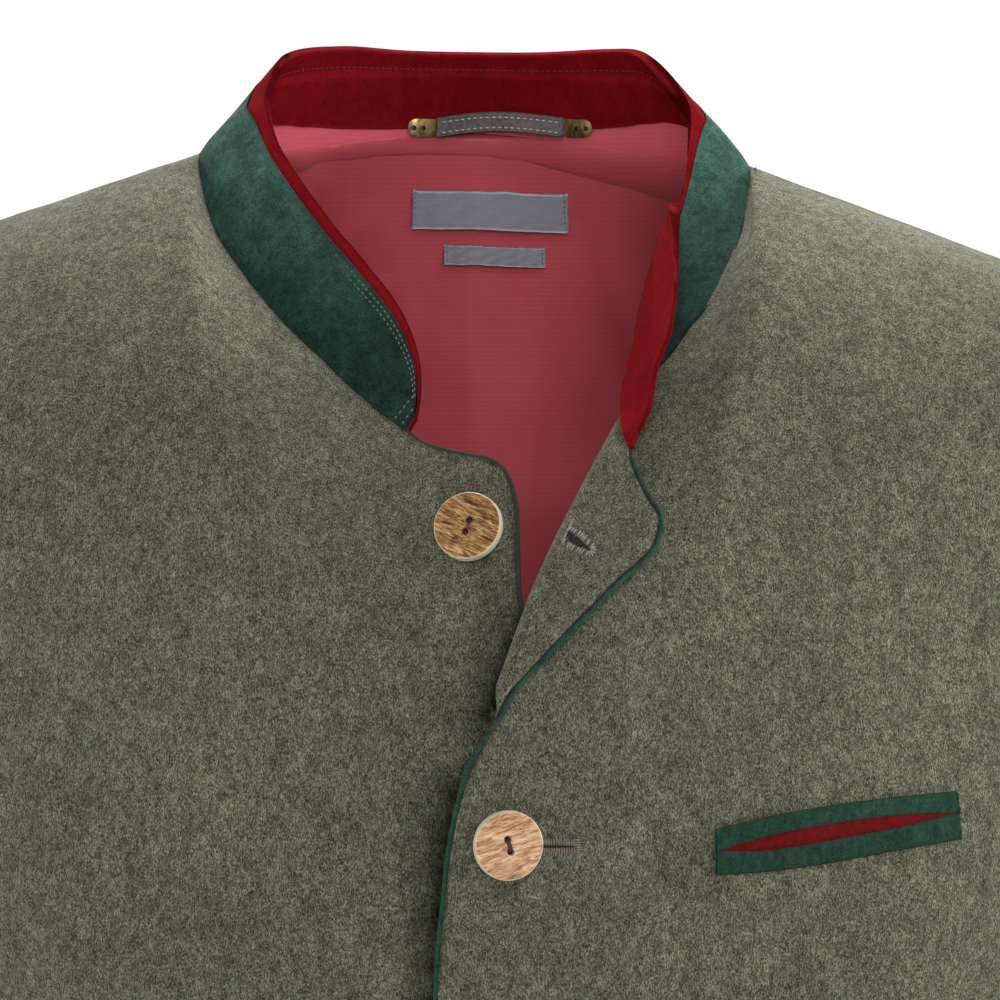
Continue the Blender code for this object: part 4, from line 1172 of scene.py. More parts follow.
def cords_mesh(name, paths, aside, up, radii, sides):
    """Closed round cords, all with as many points. Paths are (cord, step, xyz)."""
    count, steps = paths.shape[:2]
    last = count * steps - 1
    bm = bmesh.new()
    bmesh.ops.create_grid(bm, x_segments=sides, y_segments=last, size=0.5)
    grid = np.array([v.co for v in bm.verts])
    row = np.round((grid[:, 1] + 0.5) * last).astype(int)
    turn = 2 * math.pi * (grid[:, 0] + 0.5)[:, None]
    run = np.linalg.norm(np.diff(paths, axis=1, prepend=paths[:, :1]), axis=-1).cumsum(1).ravel()
    girth = 2 * math.pi * float(np.max(radii))
    flat = bm.loops.layers.uv.new("flat")
    bm.verts.index_update()
    bridging = []
    for face in bm.faces:
        rows = [row[v.index] for v in face.verts]
        if min(rows) % steps == steps - 1:
            bridging.append(face)
        for loop, step in zip(face.loops, rows):
            loop[flat].uv = ((loop.vert.co.x + 0.5) * girth, run[step])
    bmesh.ops.delete(bm, geom=bridging, context="FACES")
    wide = np.broadcast_to(radii, (count, steps)).reshape(-1)[row][:, None]
    off = aside.reshape(-1, 3)[row] * np.cos(turn) + up.reshape(-1, 3)[row] * np.sin(turn)
    points = paths.reshape(-1, 3)[row] + off * wide
    for vert, point in zip(list(bm.verts), points):
        vert.co = point
    bmesh.ops.remove_doubles(bm, verts=bm.verts, dist=1e-6)
    bmesh.ops.holes_fill(bm, edges=[e for e in bm.edges if e.is_boundary], sides=0)
    return mesh_of(bm, name, turn=False)


def tube_mesh(name, path, radius, sides=10):
    """One closed round cord along a path."""
    path = np.array(path, float)
    aside, up = frames_along(path)
    return cords_mesh(name, path[None], aside[None], up[None], np.asarray(radius, float), sides)


def stitches(name, rows, radius, finish, sink=0.35, slot=None):
    """Many short threads, each from one point to another and bowed out along a normal."""
    start, end, normal = (np.array([row[i] for row in rows], float)[:, None] for i in range(3))
    share = np.linspace(0, 1, 5)[None, :, None]
    swell = np.sin(math.pi * share)
    lift = radius * (1 - sink) * 1.2 * swell - radius * sink
    paths = start + (end - start) * share + normal * lift
    aside = np.broadcast_to(unit(np.cross(end - start, normal)), paths.shape)
    radii = radius * (0.5 + 0.5 * swell[..., 0])
    mesh = cords_mesh(name, paths, aside, np.broadcast_to(normal, paths.shape), radii, 5)
    return add_piece(name, mesh, finish, slot=slot)


def stitch_row(place, share_from, share_to, pitch, length, out):
    """Stitches along a line of a form; place(share, out) gives its points."""
    fine = np.linspace(share_from, share_to, 400)
    line = place(fine, 0.0 * fine)
    run = np.concatenate([[0], np.cumsum(np.linalg.norm(np.diff(line, axis=0), axis=1))])
    count = int(run[-1] / pitch)
    starts = (np.arange(count) + 0.5) * run[-1] / count - length / 2
    first = np.interp(starts, run, fine)
    last = np.interp(starts + length, run, fine)
    a, b = place(first, out + 0 * first), place(last, out + 0 * last)
    normal = unit(place(first, out + 0 * first + 0.001) - a)
    return list(zip(a, b, normal))


# ------------------------------------------------------------------ materials
class Nodes:
    """Short ways of building a material's nodes."""

    def __init__(self, name):
        self.made = bpy.data.materials.get(name) or bpy.data.materials.new(name)
        self.made.use_nodes = True
        self.tree = self.made.node_tree
        self.tree.nodes.clear()
        self.output = self.tree.nodes.new("ShaderNodeOutputMaterial")
        self.shader = self.tree.nodes.new("ShaderNodeBsdfPrincipled")
        self.link(self.shader.outputs[0], self.output.inputs["Surface"])

    def link(self, start, end):
        self.tree.links.new(start, end)

    def put(self, node, socket, value):
        if isinstance(value, bpy.types.NodeSocket):
            self.link(value, node.inputs[socket])
        else:
            node.inputs[socket].default_value = value

    def flat(self):
        return self.tree.nodes.new("ShaderNodeUVMap").outputs[0]

    def place(self):
        return self.tree.nodes.new("ShaderNodeTexCoord").outputs["Object"]

    def stretch(self, vector, scale, turn=0.0, move=(0, 0, 0)):
        node = self.tree.nodes.new("ShaderNodeMapping")
        self.link(vector, node.inputs["Vector"])
        node.inputs["Scale"].default_value = scale
        node.inputs["Rotation"].default_value = (0, 0, math.radians(turn))
        node.inputs["Location"].default_value = move
        return node.outputs[0]

    def noise(self, vector, scale=1.0, detail=2.0, rough=0.5, warp=0.0):
        node = self.tree.nodes.new("ShaderNodeTexNoise")
        self.link(vector, node.inputs["Vector"])
        node.inputs["Scale"].default_value = scale
        node.inputs["Detail"].default_value = detail
        node.inputs["Roughness"].default_value = rough
        node.inputs["Distortion"].default_value = warp
        return node.outputs["Fac"]

    def wave(self, vector, scale, direction="Y", warp=0.0, detail=0.0):
        node = self.tree.nodes.new("ShaderNodeTexWave")
        node.bands_direction = direction
        self.link(vector, node.inputs["Vector"])
        node.inputs["Scale"].default_value = scale
        node.inputs["Distortion"].default_value = warp
        node.inputs["Detail"].default_value = detail
        return node.outputs["Fac"]

    def band(self, value, low, high, start=0.0, end=1.0):
        """A value spread from one range on to another, kept inside it."""
        node = self.tree.nodes.new("ShaderNodeMapRange")
        self.link(value, node.inputs["Value"])
        for socket, number in zip(("From Min", "From Max", "To Min", "To Max"),
                                  (low, high, start, end)):
            node.inputs[socket].default_value = number
        return node.outputs[0]

    def sum(self, a, b, kind="ADD"):
        node = self.tree.nodes.new("ShaderNodeMath")
        node.operation = kind
        for i, value in enumerate((a, b)):
            if isinstance(value, bpy.types.NodeSocket):
                self.link(value, node.inputs[i])
            else:
                node.inputs[i].default_value = value
        return node.outputs[0]

    def mix(self, share, a, b, kind="MIX"):
        """Mix two colours by a share."""
        node = self.tree.nodes.new("ShaderNodeMix")
        node.data_type = "RGBA"
        node.blend_type = kind
        for socket, value in ((0, share), (6, a), (7, b)):
            if isinstance(value, bpy.types.NodeSocket):
                self.link(value, node.inputs[socket])
            elif socket == 0:
                node.inputs[socket].default_value = value
            else:
                node.inputs[socket].default_value = (*value, 1.0)
        return node.outputs[2]

    def attribute(self, name):
        node = self.tree.nodes.new("ShaderNodeAttribute")
        node.attribute_name = name
        return node.outputs["Fac"]

    def axis(self, vector, which):
        node = self.tree.nodes.new("ShaderNodeSeparateXYZ")
        self.link(vector, node.inputs[0])
        return node.outputs[which]

    def bump(self, height, depth, strength=1.0):
        node = self.tree.nodes.new("ShaderNodeBump")
        self.link(height, node.inputs["Height"])
        node.inputs["Distance"].default_value = depth
        node.inputs["Strength"].default_value = strength
        self.link(node.outputs[0], self.shader.inputs["Normal"])

    def finish(self, colour, roughness=0.9, **sockets):
        self.put(self.shader, "Base Color", colour if isinstance(colour, bpy.types.NodeSocket)
                 else (*colour, 1.0))
        self.put(self.shader, "Roughness", roughness)
        for name, value in sockets.items():
            self.put(self.shader, name.replace("_", " "), value)
        return self.made


class Loden(Nodes):
    """Milled wool: fine tangled fibres of mixed colours on a soft, mottled ground, with painted
    light by height and a painted shadow from an attribute where asked.
    """

    def __init__(self, name, tones, spots=(), fibre=1.0, mottle=1.0, sheen=0.06, change=None,
                 rise=None, tuck=None, gloss=0.10):
        super().__init__(name)
        place = self.place()
        wide, tall = 2600 * fibre, 1150 * fibre
        long = self.noise(self.stretch(place, (wide, wide, tall)), 1.0, 3.0, 0.7, 0.3)
        short = self.stretch(place, (wide * 0.8, wide * 0.8, tall * 0.9), move=(3, 7, 5))
        tangle = self.noise(short, 1.0, 3.0, 0.7, 0.4)
        tufts = self.noise(self.stretch(place, (430, 430, 300), move=(9, 1, 4)), 1.0, 2.0, 0.5, 0.5)
        tone = self.sum(self.sum(long, 0.50, "MULTIPLY"), self.sum(tangle, 0.32, "MULTIPLY"))
        tone = self.sum(tone, self.sum(tufts, 0.18, "MULTIPLY"))
        dark, ground, light = tones
        colour = self.mix(self.band(tone, 0.40, 0.51), dark, ground)
        colour = self.mix(self.band(tone, 0.50, 0.63), colour, light)
        for seed, (spot, low, high, share, size) in enumerate(spots):
            where = self.stretch(place, (size, size, size * 0.55), move=(seed, 2 * seed, 3))
            patch = self.noise(where, 1.0, 1.0, 0.5, 0.7)
            colour = self.mix(self.band(patch, low, high, 0.0, share), colour, spot)
        if change:
            low, high, other = change
            colour = self.mix(self.band(self.axis(place, 2), low, high), colour, other)
        cloud = self.noise(self.stretch(place, (120, 120, 80)), 1.0, 4.0, 0.6)
        wide = self.noise(self.stretch(place, (10, 10, 10)), 1.0, 2.0)
        shade = self.sum(self.band(cloud, 0.3, 0.7, 1 - 0.20 * mottle, 1 + 0.20 * mottle),
                         self.band(wide, 0.3, 0.7, 1 - 0.08 * mottle, 1 + 0.08 * mottle), "MULTIPLY")
        # Painted light: a band over height lightens the upper parts and darkens the lower ones, as
        # light falls from above.
        if rise:
            shade = self.sum(shade, self.band(self.axis(place, 2), *rise), "MULTIPLY")
        # Painted shadow: an attribute darkens the wool where another piece overlaps it.
        if tuck:
            shade = self.sum(shade, self.band(self.attribute(tuck), 0.0, 1.0, 1.0, 0.02), "MULTIPLY")
        scale = self.tree.nodes.new("ShaderNodeVectorMath")
        scale.operation = "SCALE"
        self.link(colour, scale.inputs[0])
        self.link(shade, scale.inputs["Scale"])
        self.bump(self.sum(tone, self.sum(cloud, 0.6, "MULTIPLY")), 0.0005, 0.55)
        self.finish(scale.outputs[0], 0.95, Sheen_Weight=sheen, Sheen_Roughness=0.5,
                    Specular_IOR_Level=gloss)


def loden(name="loden", **more):
    spots = (((0.250, 0.232, 0.175), 0.55, 0.70, 0.8, 2300),
             ((0.016, 0.017, 0.011), 0.55, 0.70, 0.8, 2400),
             ((0.110, 0.056, 0.036), 0.58, 0.70, 0.6, 2100),
             ((0.072, 0.090, 0.105), 0.60, 0.72, 0.5, 2200))
    # Painted light: rise lightens the loden towards the shoulders, where light falls from above.
    return Loden(name, ((0.010, 0.011, 0.006), (0.080, 0.085, 0.054), (0.290, 0.294, 0.212)),
                 spots, rise=(-0.088, -0.030, 1.0, 1.42), **more).made


def green_felt():
    # Painted light and shade: rise darkens the green felt towards its foot and lightens its top, as
    # light falls from above.
    return Loden("green_felt", ((0.009, 0.025, 0.019), (0.026, 0.066, 0.050),
                                (0.056, 0.122, 0.098)), fibre=1.2, mottle=1.6, sheen=0.02,
                 rise=(-0.064, -0.004, 0.50, 1.40)).made


def piping_felt():
    return Loden("piping_felt", ((0.008, 0.022, 0.014), (0.020, 0.050, 0.034),
                                 (0.042, 0.086, 0.062)), fibre=1.2, sheen=0.04).made


def nap_and_shade_piping_felt():
    """The right edge's cord, greyed where the collar's opening shows it: partly its greyer nap,
    partly painted shade.
    """
    return Loden("nap_and_shade_piping_felt", ((0.008, 0.022, 0.014), (0.020, 0.050, 0.034),
                                       (0.042, 0.086, 0.062)), fibre=1.2, sheen=0.04,
                 change=(-0.160, -0.146, (0.040, 0.044, 0.034))).made


def red_felt():
    return Loden("red_felt", ((0.135, 0.003, 0.005), (0.178, 0.005, 0.008),
                              (0.225, 0.009, 0.013)), fibre=1.4, mottle=0.7, sheen=0.0,
                gloss=0.02).made


def welt_felt():
    return Loden("welt_felt", ((0.006, 0.020, 0.013), (0.014, 0.042, 0.028),
                               (0.032, 0.075, 0.052)), fibre=1.2, sheen=0.03).made


# Painted shade: the red felt at about half its tone for the pocket's inset, which lies in shade
# between the welts.
def shaded_pocket_felt():
    return Loden("shaded_pocket_felt", ((0.070, 0.003, 0.004), (0.110, 0.004, 0.005),
                                 (0.150, 0.007, 0.008)), fibre=1.4, mottle=0.7, sheen=0.01).made


def satin():
    """Rose satin with fine level ribs, lighter where the warp shows."""
    nodes = Nodes("lining_satin")
    place = nodes.place()
    rib = nodes.wave(place, 190, "Z", 0.5, 1.0)
    slub = nodes.noise(nodes.stretch(place, (240, 240, 2600)), 1.0, 2.0)
    cloud = nodes.noise(nodes.stretch(place, (28, 28, 28)), 1.0, 2.0)
    tone = nodes.sum(nodes.sum(rib, 0.30, "MULTIPLY"), nodes.sum(slub, 0.70, "MULTIPLY"))
    colour = nodes.mix(nodes.band(tone, 0.2, 0.8), (0.67, 0.092, 0.120), (0.77, 0.118, 0.152))
    colour = nodes.mix(nodes.band(cloud, 0.35, 0.7, 0.0, 0.4), colour, (0.68, 0.125, 0.150))
    nodes.bump(tone, 0.0001, 0.3)
    return nodes.finish(colour, 0.48, Sheen_Weight=0.25, Sheen_Roughness=0.35,
                        Anisotropic=0.5, Specular_IOR_Level=0.4)


def horn(name, tones):
    """Polished staghorn: fine wavy streaks of amber and brown, pale at the rim."""
    nodes = Nodes(name)
    flat = nodes.flat()
    streak = nodes.noise(nodes.stretch(flat, (130, 720, 1)), 1.0, 3.0, 0.6, 1.3)
    fine = nodes.noise(nodes.stretch(flat, (600, 3000, 1), 4), 1.0, 2.0, 0.6, 0.6)
    cloud = nodes.noise(nodes.stretch(flat, (160, 200, 1)), 1.0, 2.0)
    tone = nodes.sum(nodes.sum(streak, 0.62, "MULTIPLY"), nodes.sum(fine, 0.25, "MULTIPLY"))
    tone = nodes.sum(tone, nodes.sum(cloud, 0.13, "MULTIPLY"))
    dark, amber, light = tones
    colour = nodes.mix(nodes.band(tone, 0.40, 0.50), dark, amber)
    colour = nodes.mix(nodes.band(tone, 0.50, 0.62), colour, light)
    colour = nodes.mix(nodes.attribute("rim"), colour, (0.62, 0.53, 0.36))
    # Painted shade: near-black in the thread holes, partly dark along the groove.
    colour = nodes.mix(nodes.attribute("hole_shade"), colour, (0.020, 0.011, 0.006))
    nodes.bump(fine, 0.0001, 0.3)
    return nodes.finish(colour, 0.36, Coat_Weight=0.2, Coat_Roughness=0.25)


def thread(name, colour, light):
    """Twisted sewing thread."""
    nodes = Nodes(name)
    twist = nodes.wave(nodes.stretch(nodes.flat(), (1, 1, 1), 38), 900, "Y")
    tone = nodes.noise(nodes.stretch(nodes.place(), (500, 500, 500)), 1.0, 1.0)
    share = nodes.sum(nodes.sum(twist, 0.5, "MULTIPLY"), nodes.sum(tone, 0.5, "MULTIPLY"))
    nodes.bump(twist, 0.0001, 0.5)
    return nodes.finish(nodes.mix(share, colour, light), 0.75)


def label_satin():
    nodes = Nodes("label_satin")
    flat = nodes.flat()
    weft = nodes.wave(nodes.stretch(flat, (1, 1, 1)), 420, "Y", 0.3)
    warp = nodes.noise(nodes.stretch(flat, (3000, 300, 1)), 1.0, 1.0)
    tone = nodes.sum(nodes.sum(weft, 0.5, "MULTIPLY"), nodes.sum(warp, 0.5, "MULTIPLY"))
    colour = nodes.mix(nodes.band(tone, 0.2, 0.8), (0.290, 0.297, 0.345), (0.470, 0.477, 0.530))
    nodes.bump(tone, 0.0001, 0.4)
    return nodes.finish(colour, 0.42, Sheen_Weight=0.3, Anisotropic=0.4)


def strap_leather():
    nodes = Nodes("strap")
    place = nodes.place()
    grain = nodes.noise(nodes.stretch(place, (900, 900, 900)), 1.0, 3.0)
    cloud = nodes.noise(nodes.stretch(place, (120, 120, 120)), 1.0, 2.0)
    colour = nodes.mix(nodes.band(grain, 0.35, 0.65), (0.060, 0.046, 0.043), (0.135, 0.112, 0.106))
    colour = nodes.mix(nodes.band(cloud, 0.4, 0.7, 0.0, 0.4), colour, (0.14, 0.12, 0.115))
    nodes.bump(grain, 0.0003, 0.6)
    return nodes.finish(colour, 0.6)


def brass():
    nodes = Nodes("brass")
    place = nodes.place()
    wear = nodes.noise(nodes.stretch(place, (700, 700, 260)), 1.0, 3.0)
    colour = nodes.mix(nodes.band(wear, 0.4, 0.65), (0.22, 0.145, 0.060), (0.52, 0.39, 0.17))
    nodes.bump(wear, 0.0001, 0.4)
    return nodes.finish(colour, nodes.band(wear, 0.3, 0.7, 0.5, 0.28), Metallic=0.85)


def floor_paper():
    nodes = Nodes("floor_paper")
    grain = nodes.noise(nodes.stretch(nodes.place(), (60, 60, 60)), 1.0, 3.0)
    colour = nodes.mix(nodes.band(grain, 0.3, 0.7), (0.80, 0.80, 0.80), (0.84, 0.84, 0.84))
    return nodes.finish(colour, 0.9)


# Painted shadow: near-black for slits and holes whose depth would be dark.
def painted_slot_shadow():
    nodes = Nodes("slot_shadow")
    grain = nodes.noise(nodes.stretch(nodes.place(), (1500, 1500, 1500)), 1.0, 1.0)
    return nodes.finish(nodes.mix(grain, (0.006, 0.005, 0.004), (0.02, 0.018, 0.014)), 0.95)


# ------------------------------------------------------------------ loden pieces
def rounded(place, share, rise, corner):
    """A panel's points, with its sharp turn under the side of the neck drawn round."""
    low, fade = NECK_ROUND_FROM
    spread = NECK_ROUND * np.exp(-((share - corner) / NECK_ROUND_WIDTH) ** 2)
    spread = spread * ease((rise - low) / fade) * ease((1 - rise) / NECK_ROUND_TO)
    beside = place(share - spread, rise) + place(share + spread, rise)
    return (beside + 2 * place(share, rise)) / 4


def lap_line():
    """The left front's visible edge over the right one: the roll line, then the cord."""
    points = [corner_line(share, 0)[0] for share in np.linspace(1.0, 0.0, 24)]
    crossing = float(find("left", *LAP_CROSSING[-1])[1])
    cord = edge_cord("left", np.linspace(crossing, 0, 40))
    return np.array(points + list(cord[:, [0, 2]]))


def tucked(x, z, line):
    """How dark the painted shadow beside the lap is at a point: 1 at the line, 0 some way off it."""
    gap = np.min(np.hypot(x[:, None] - line[None, :, 0], z[:, None] - line[None, :, 1]), axis=1)
    beside = np.interp(z, line[::-1, 1], line[::-1, 0]) - x
    over, fade = PAINTED_SHADOW_BACK
    return np.exp(-(gap / PAINTED_SHADOW_WIDTH) ** PAINTED_SHADOW_FADE) * ease((beside + over) / fade)


def make_fronts(settings):
    """Both fronts; the right one also holds a painted shadow beside the left front's lapped edge."""
    finishes = {"right": loden("loden_right_painted_shadow", tuck="tuck"), "left": loden()}
    for panel in ("right", "left"):
        def place(u, v, depth, panel=panel):
            return rounded(lambda share, rise: front_point(panel, share, rise, -depth),
                           u * SEAM_SHARE, v * SEAM_SHARE, NECK_SHARE)
        piece = cloth("cloth_front_" + panel, place, FRONT_GRID, LODEN, CUTS["front_" + panel],
                      finishes[panel], ["front_" + panel], "loden")
        if panel == "right":
            corners = np.array([v.co for v in piece.data.vertices])
            amount = tucked(corners[:, 0], corners[:, 2], lap_line())
            held = piece.data.attributes.new("tuck", "FLOAT", "POINT")
            held.data.foreach_set("value", amount.astype(np.float32))


def make_corner(settings):
    """The top of the left front, turned back over its roll line."""
    def place(u, v, depth):
        span = np.where(u < ROLL_PART, ROLL_PART, 1 - ROLL_PART)
        return corner_point((u - ROLL_PART) / span, v, depth)
    cloth("cloth_corner_left", place, CORNER_GRID, CORNER_WALL, CUTS["corner"], loden(),
          ["corner_left"], "loden", held="folded", soft=0.0008)


def make_back(settings):
    def place(u, v, depth):
        corner = 0.5 + np.where(u < 0.5, -0.5, 0.5) * NECK_SHARE
        return rounded(lambda share, rise: back_point(share, rise, depth), u, v, corner)
    cloth("cloth_back", place, BACK_GRID, LODEN, CUTS["back"], loden(), ["back"], "loden")


def lining_slack(x, z):
    """How far the lining's wrinkles and centre seam stand off, always towards the wearer."""
    height = fold_height(LINING_CREASES, x, z) + LINING_SLACK * (1 + ripple(x * 1.6, z * 0.8, 9.0))
    low = ease((LINING_SEAM_TOP - z) / LINING_SEAM_FADE)
    for seam_x, width, rise in LINING_SEAM:
        height = height + rise * low * np.exp(-((x - seam_x) / width) ** 2)
    return np.maximum(height, 0)


def make_lining(settings):
    start = 1 / BACK_ROWS

    def place(u, v, depth):
        across = 0.5 + (u - 0.5) * SHOULDER_SHARE
        flat = back_point(across, start + (1 - start) * v, LODEN + LINING_GAP)
        slack = lining_slack(flat[..., 0], flat[..., 2]) * settings.lining_slack
        return back_point(across, start + (1 - start) * v, LODEN + LINING_GAP + slack + depth)
    cloth("cloth_lining", place, LINING_GRID, LINING_WALL, CUTS["lining"], satin(), ["lining"],
          "lining_satin", soft=0.0002)


def make_sleeves(settings):
    wool = loden()
    for side in ("right", "left"):
        def place(u, v, depth, side=side):
            return sleeve_point(side, 2 * math.pi * u, v, depth)
        cloth("cloth_sleeve_" + side, place, SLEEVE_GRID, LODEN, CUTS["sleeve"], wool,
              ["sleeve_" + side], "loden", ring=True)
        turns = np.linspace(0, 2 * math.pi, 121)[:-1]
        ring = sleeve_point(side, turns, 0 * turns, LODEN * 0.45)
        ring = np.concatenate([ring, ring[:2]])
        name = "armhole_seam_" + side
        seam = add_piece(name, tube_mesh(name, ring, SEAM_ROLL_R, 8), wool, slot="loden")


# ------------------------------------------------------------------ collar and piping
def uneven(share, height, wide):
    """The felt's small waves, none at its seam."""
    return wide * ripple(share * 0.55, height * 0.05, 7.0) * ease(height / 0.3)


def red_face(share, height):
    """The red felt's seen side, its left end drawn into one smooth tip."""
    waves = sum(high * np.exp(-((share - at) / wide) ** 2) for at, wide, high in COLLAR_WAVES)
    waves = waves * ease(height / 0.4) * ease((1.05 - height) / 0.5)
    face = collar_point(share, height, 2 * FELT + 0.0001 + waves)
    row = spline(TIP_BLADE, np.maximum(share, TIP_BLADE[0][0]))
    across = ((height - TIP_FOLD) / (RED_EDGE - TIP_FOLD))[..., None]
    blade = row[..., :3] + (row[..., 3:] - row[..., :3]) * across
    drawn = ease((share - TIP_START) / TIP_SPAN)[..., None]
    return face + (blade - face) * drawn


def red_point(share, height, depth):
    """The red felt: depth is 0 on its outer side, which laps over the green felt's edge."""
    steady = np.clip(share, END_STEADY, TIP_STEADY)
    ahead = (red_face(np.minimum(steady + COLLAR_STEP, 1), height)
             - red_face(np.maximum(steady - COLLAR_STEP, 0), height))
    up = red_face(steady, height + UP_STEP) - red_face(steady, height - UP_STEP)
    out = unit(np.cross(up, ahead))
    above = height - spline(GREEN_TOP, share)[..., 0]
    over = ease((above + 0.06) / 0.08) * ease((OVER_END - share) / 0.05)
    roll = spline(RED_ROLL, share)[..., 0] * ease((height - ROLL_FROM) / 0.35)
    shift = (FELT - depth) + over * OVER_FELT * FELT - roll * depth / FELT
    return settle(red_face(share, height) + out * shift[..., None])


def make_collar(settings):
    def green(u, v, depth):
        share = COLLAR_END + (GREEN_END - COLLAR_END) * u
        height = GREEN_FOOT + v * (spline(GREEN_TOP, share)[..., 0] - GREEN_FOOT)
        trough = sum(deep * np.exp(-((share - at) / wide) ** 2) for at, wide, deep in GREEN_WAVES)
        trough = trough * ease(height / 0.35) * ease((1.08 - height) / 0.5)
        return settle(collar_point(share, height, depth + trough - uneven(share, v, 0.0002)))

    def red(u, v, depth):
        share = RED_END + (1 - RED_END) * u
        foot = spline(RED_FOOT, share)[..., 0]
        return red_point(share, foot + v * (RED_EDGE - foot), depth)

    def neck(u, v, depth):
        first, last = NECK_SATIN
        share = first + (last - first) * u
        height = NECK_FOOT + v * (spline(RED_FOOT, share)[..., 0] + NECK_UNDER_RED - NECK_FOOT)
        seam = settle(collar_point(share, height, 2 * FELT - NECK_SET_BACK + depth))
        slack = lining_slack(seam[..., 0], seam[..., 2]) * settings.lining_slack
        sunk = NECK_SUNK + NECK_DIVE * ease((NECK_FOOT + 0.10 - height) / 0.08)
        lining = inside_back(seam[..., 0], seam[..., 2], depth + slack - sunk)
        down = ease((0.03 - height) / NECK_SLOPE)[..., None]
        return seam + (lining - seam) * down
    cloth("felt_collar_outer", green, COLLAR_GRID, FELT, CUTS["collar_outer"], green_felt(),
          ["collar_outer"], "green_felt", held="stretched", soft=0.0005)
    cloth("felt_collar_inner", red, COLLAR_GRID, FELT, CUTS["collar_inner"], red_felt(),
          ["collar_inner"], "red_felt", held="stretched", soft=0.0007)
    cloth("satin_neck", neck, NECK_GRID, RIBBON_WALL, CUTS["neck"], satin(), [], "lining_satin",
          held="stretched", soft=0.0002)


def right_edge_path():
    """The right cord's middle, from under the collar round the corner and down to the hem."""
    top = np.linspace(TOP_CORD_START, float(edge_share("right", TOP_RISE)), 5)[:-1]
    brim = body("right", top, TOP_RISE + 0 * top, -LODEN / 2)
    below = body("right", top, BELOW_TOP + 0 * top, -LODEN / 2)
    rises = np.concatenate([CORNER_RISES, 1 - np.arange(2, 21) / 20])
    edge = front_point("right", 0 * rises, rises, -LODEN / 2)
    inside = front_point("right", 0 * rises + INSIDE_EDGE, rises, -LODEN / 2)
    return beside_edge(np.concatenate([brim, edge]), np.concatenate([below, inside]))


def beside_edge(edge, inside):
    """Points as far off an edge as a cord's middle, square to the way the edge runs."""
    ahead = unit(np.gradient(edge, axis=0))
    out = edge - inside
    out = unit(out - ahead * np.sum(out * ahead, -1)[..., None])
    return list(edge + out * CORD_BESIDE)


def edge_cord(panel, rise):
    """The middle of the cord beside a front edge."""
    edge = front_point(panel, 0.0 * rise, rise, -LODEN / 2)
    inside = front_point(panel, 0.0 * rise + INSIDE_EDGE, rise, -LODEN / 2)
    return edge + unit(edge - inside) * CORD_BESIDE


def corner_cord(share):
    """The middle of the cord beside the turned corner's edge."""
    edge, off = corner_line(share, 2)
    edge = edge - off * (CORD_OUT - CORD_BESIDE)
    out = 2 * GAP + CORNER_WALL / 2 + CORNER_LIFT * ease(share / LIFT_SHARE)
    return on_front("left", edge[..., 0], edge[..., 1], out)


def left_edge_path():
    """The left cord's middle, down the turned corner's edge, over the lap and to the hem."""
    shares = 1 - np.arange(13) / 13
    points = list(corner_cord(shares))
    crossing = np.array(LAP_CROSSING[:-1])
    outs = np.array((CORD_OUT, PIPING_R + 2 * GAP, PIPING_R * 0.3))
    points += list(on_front("left", crossing[:, 0], crossing[:, 1], outs))
    first = int(find("left", *LAP_CROSSING[-1])[1] * 20)
    return points + list(edge_cord("left", np.arange(first, -1, -1) / 20))


def make_piping(settings):
    strips = (("right", right_edge_path(), nap_and_shade_piping_felt()),
              ("left", left_edge_path(), piping_felt()))
    for side, path, felt in strips:
        fine = smooth_path(path, CORD_STEP)
        along = np.arange(len(fine)) * CORD_STEP
        radius = CORD_R * (1 + CORD_UNEVEN * ripple(along, 0 * along, 11.0))
        name, length = "felt_piping_" + side, PIPING_CUT[side]
        piece = add_piece(name, tube_mesh(name, fine, radius, 12), felt, ["piping_" + side],
                          "green_felt")


# ------------------------------------------------------------------ horn buttons
def facing(panel, x, z, out):
    """A frame whose z points out of a front and whose y points up along it."""
    places = on_front(panel, np.full(3, x), np.full(3, z), np.array((out, 0.0, 0.01)))
    normal = Vector(unit(places[2] - places[1]))
    aside = Vector((0, 0, 1)).cross(normal).normalized()
    turned = Matrix((aside, normal.cross(aside), normal)).transposed().to_4x4()
    return Matrix.Translation(Vector(places[0])) @ turned


def faded(value, limits):
    """1 up to the first limit, falling to 0 over the second one's length."""
    start, length = limits
    return 1 - float(ease((value - start) / length))


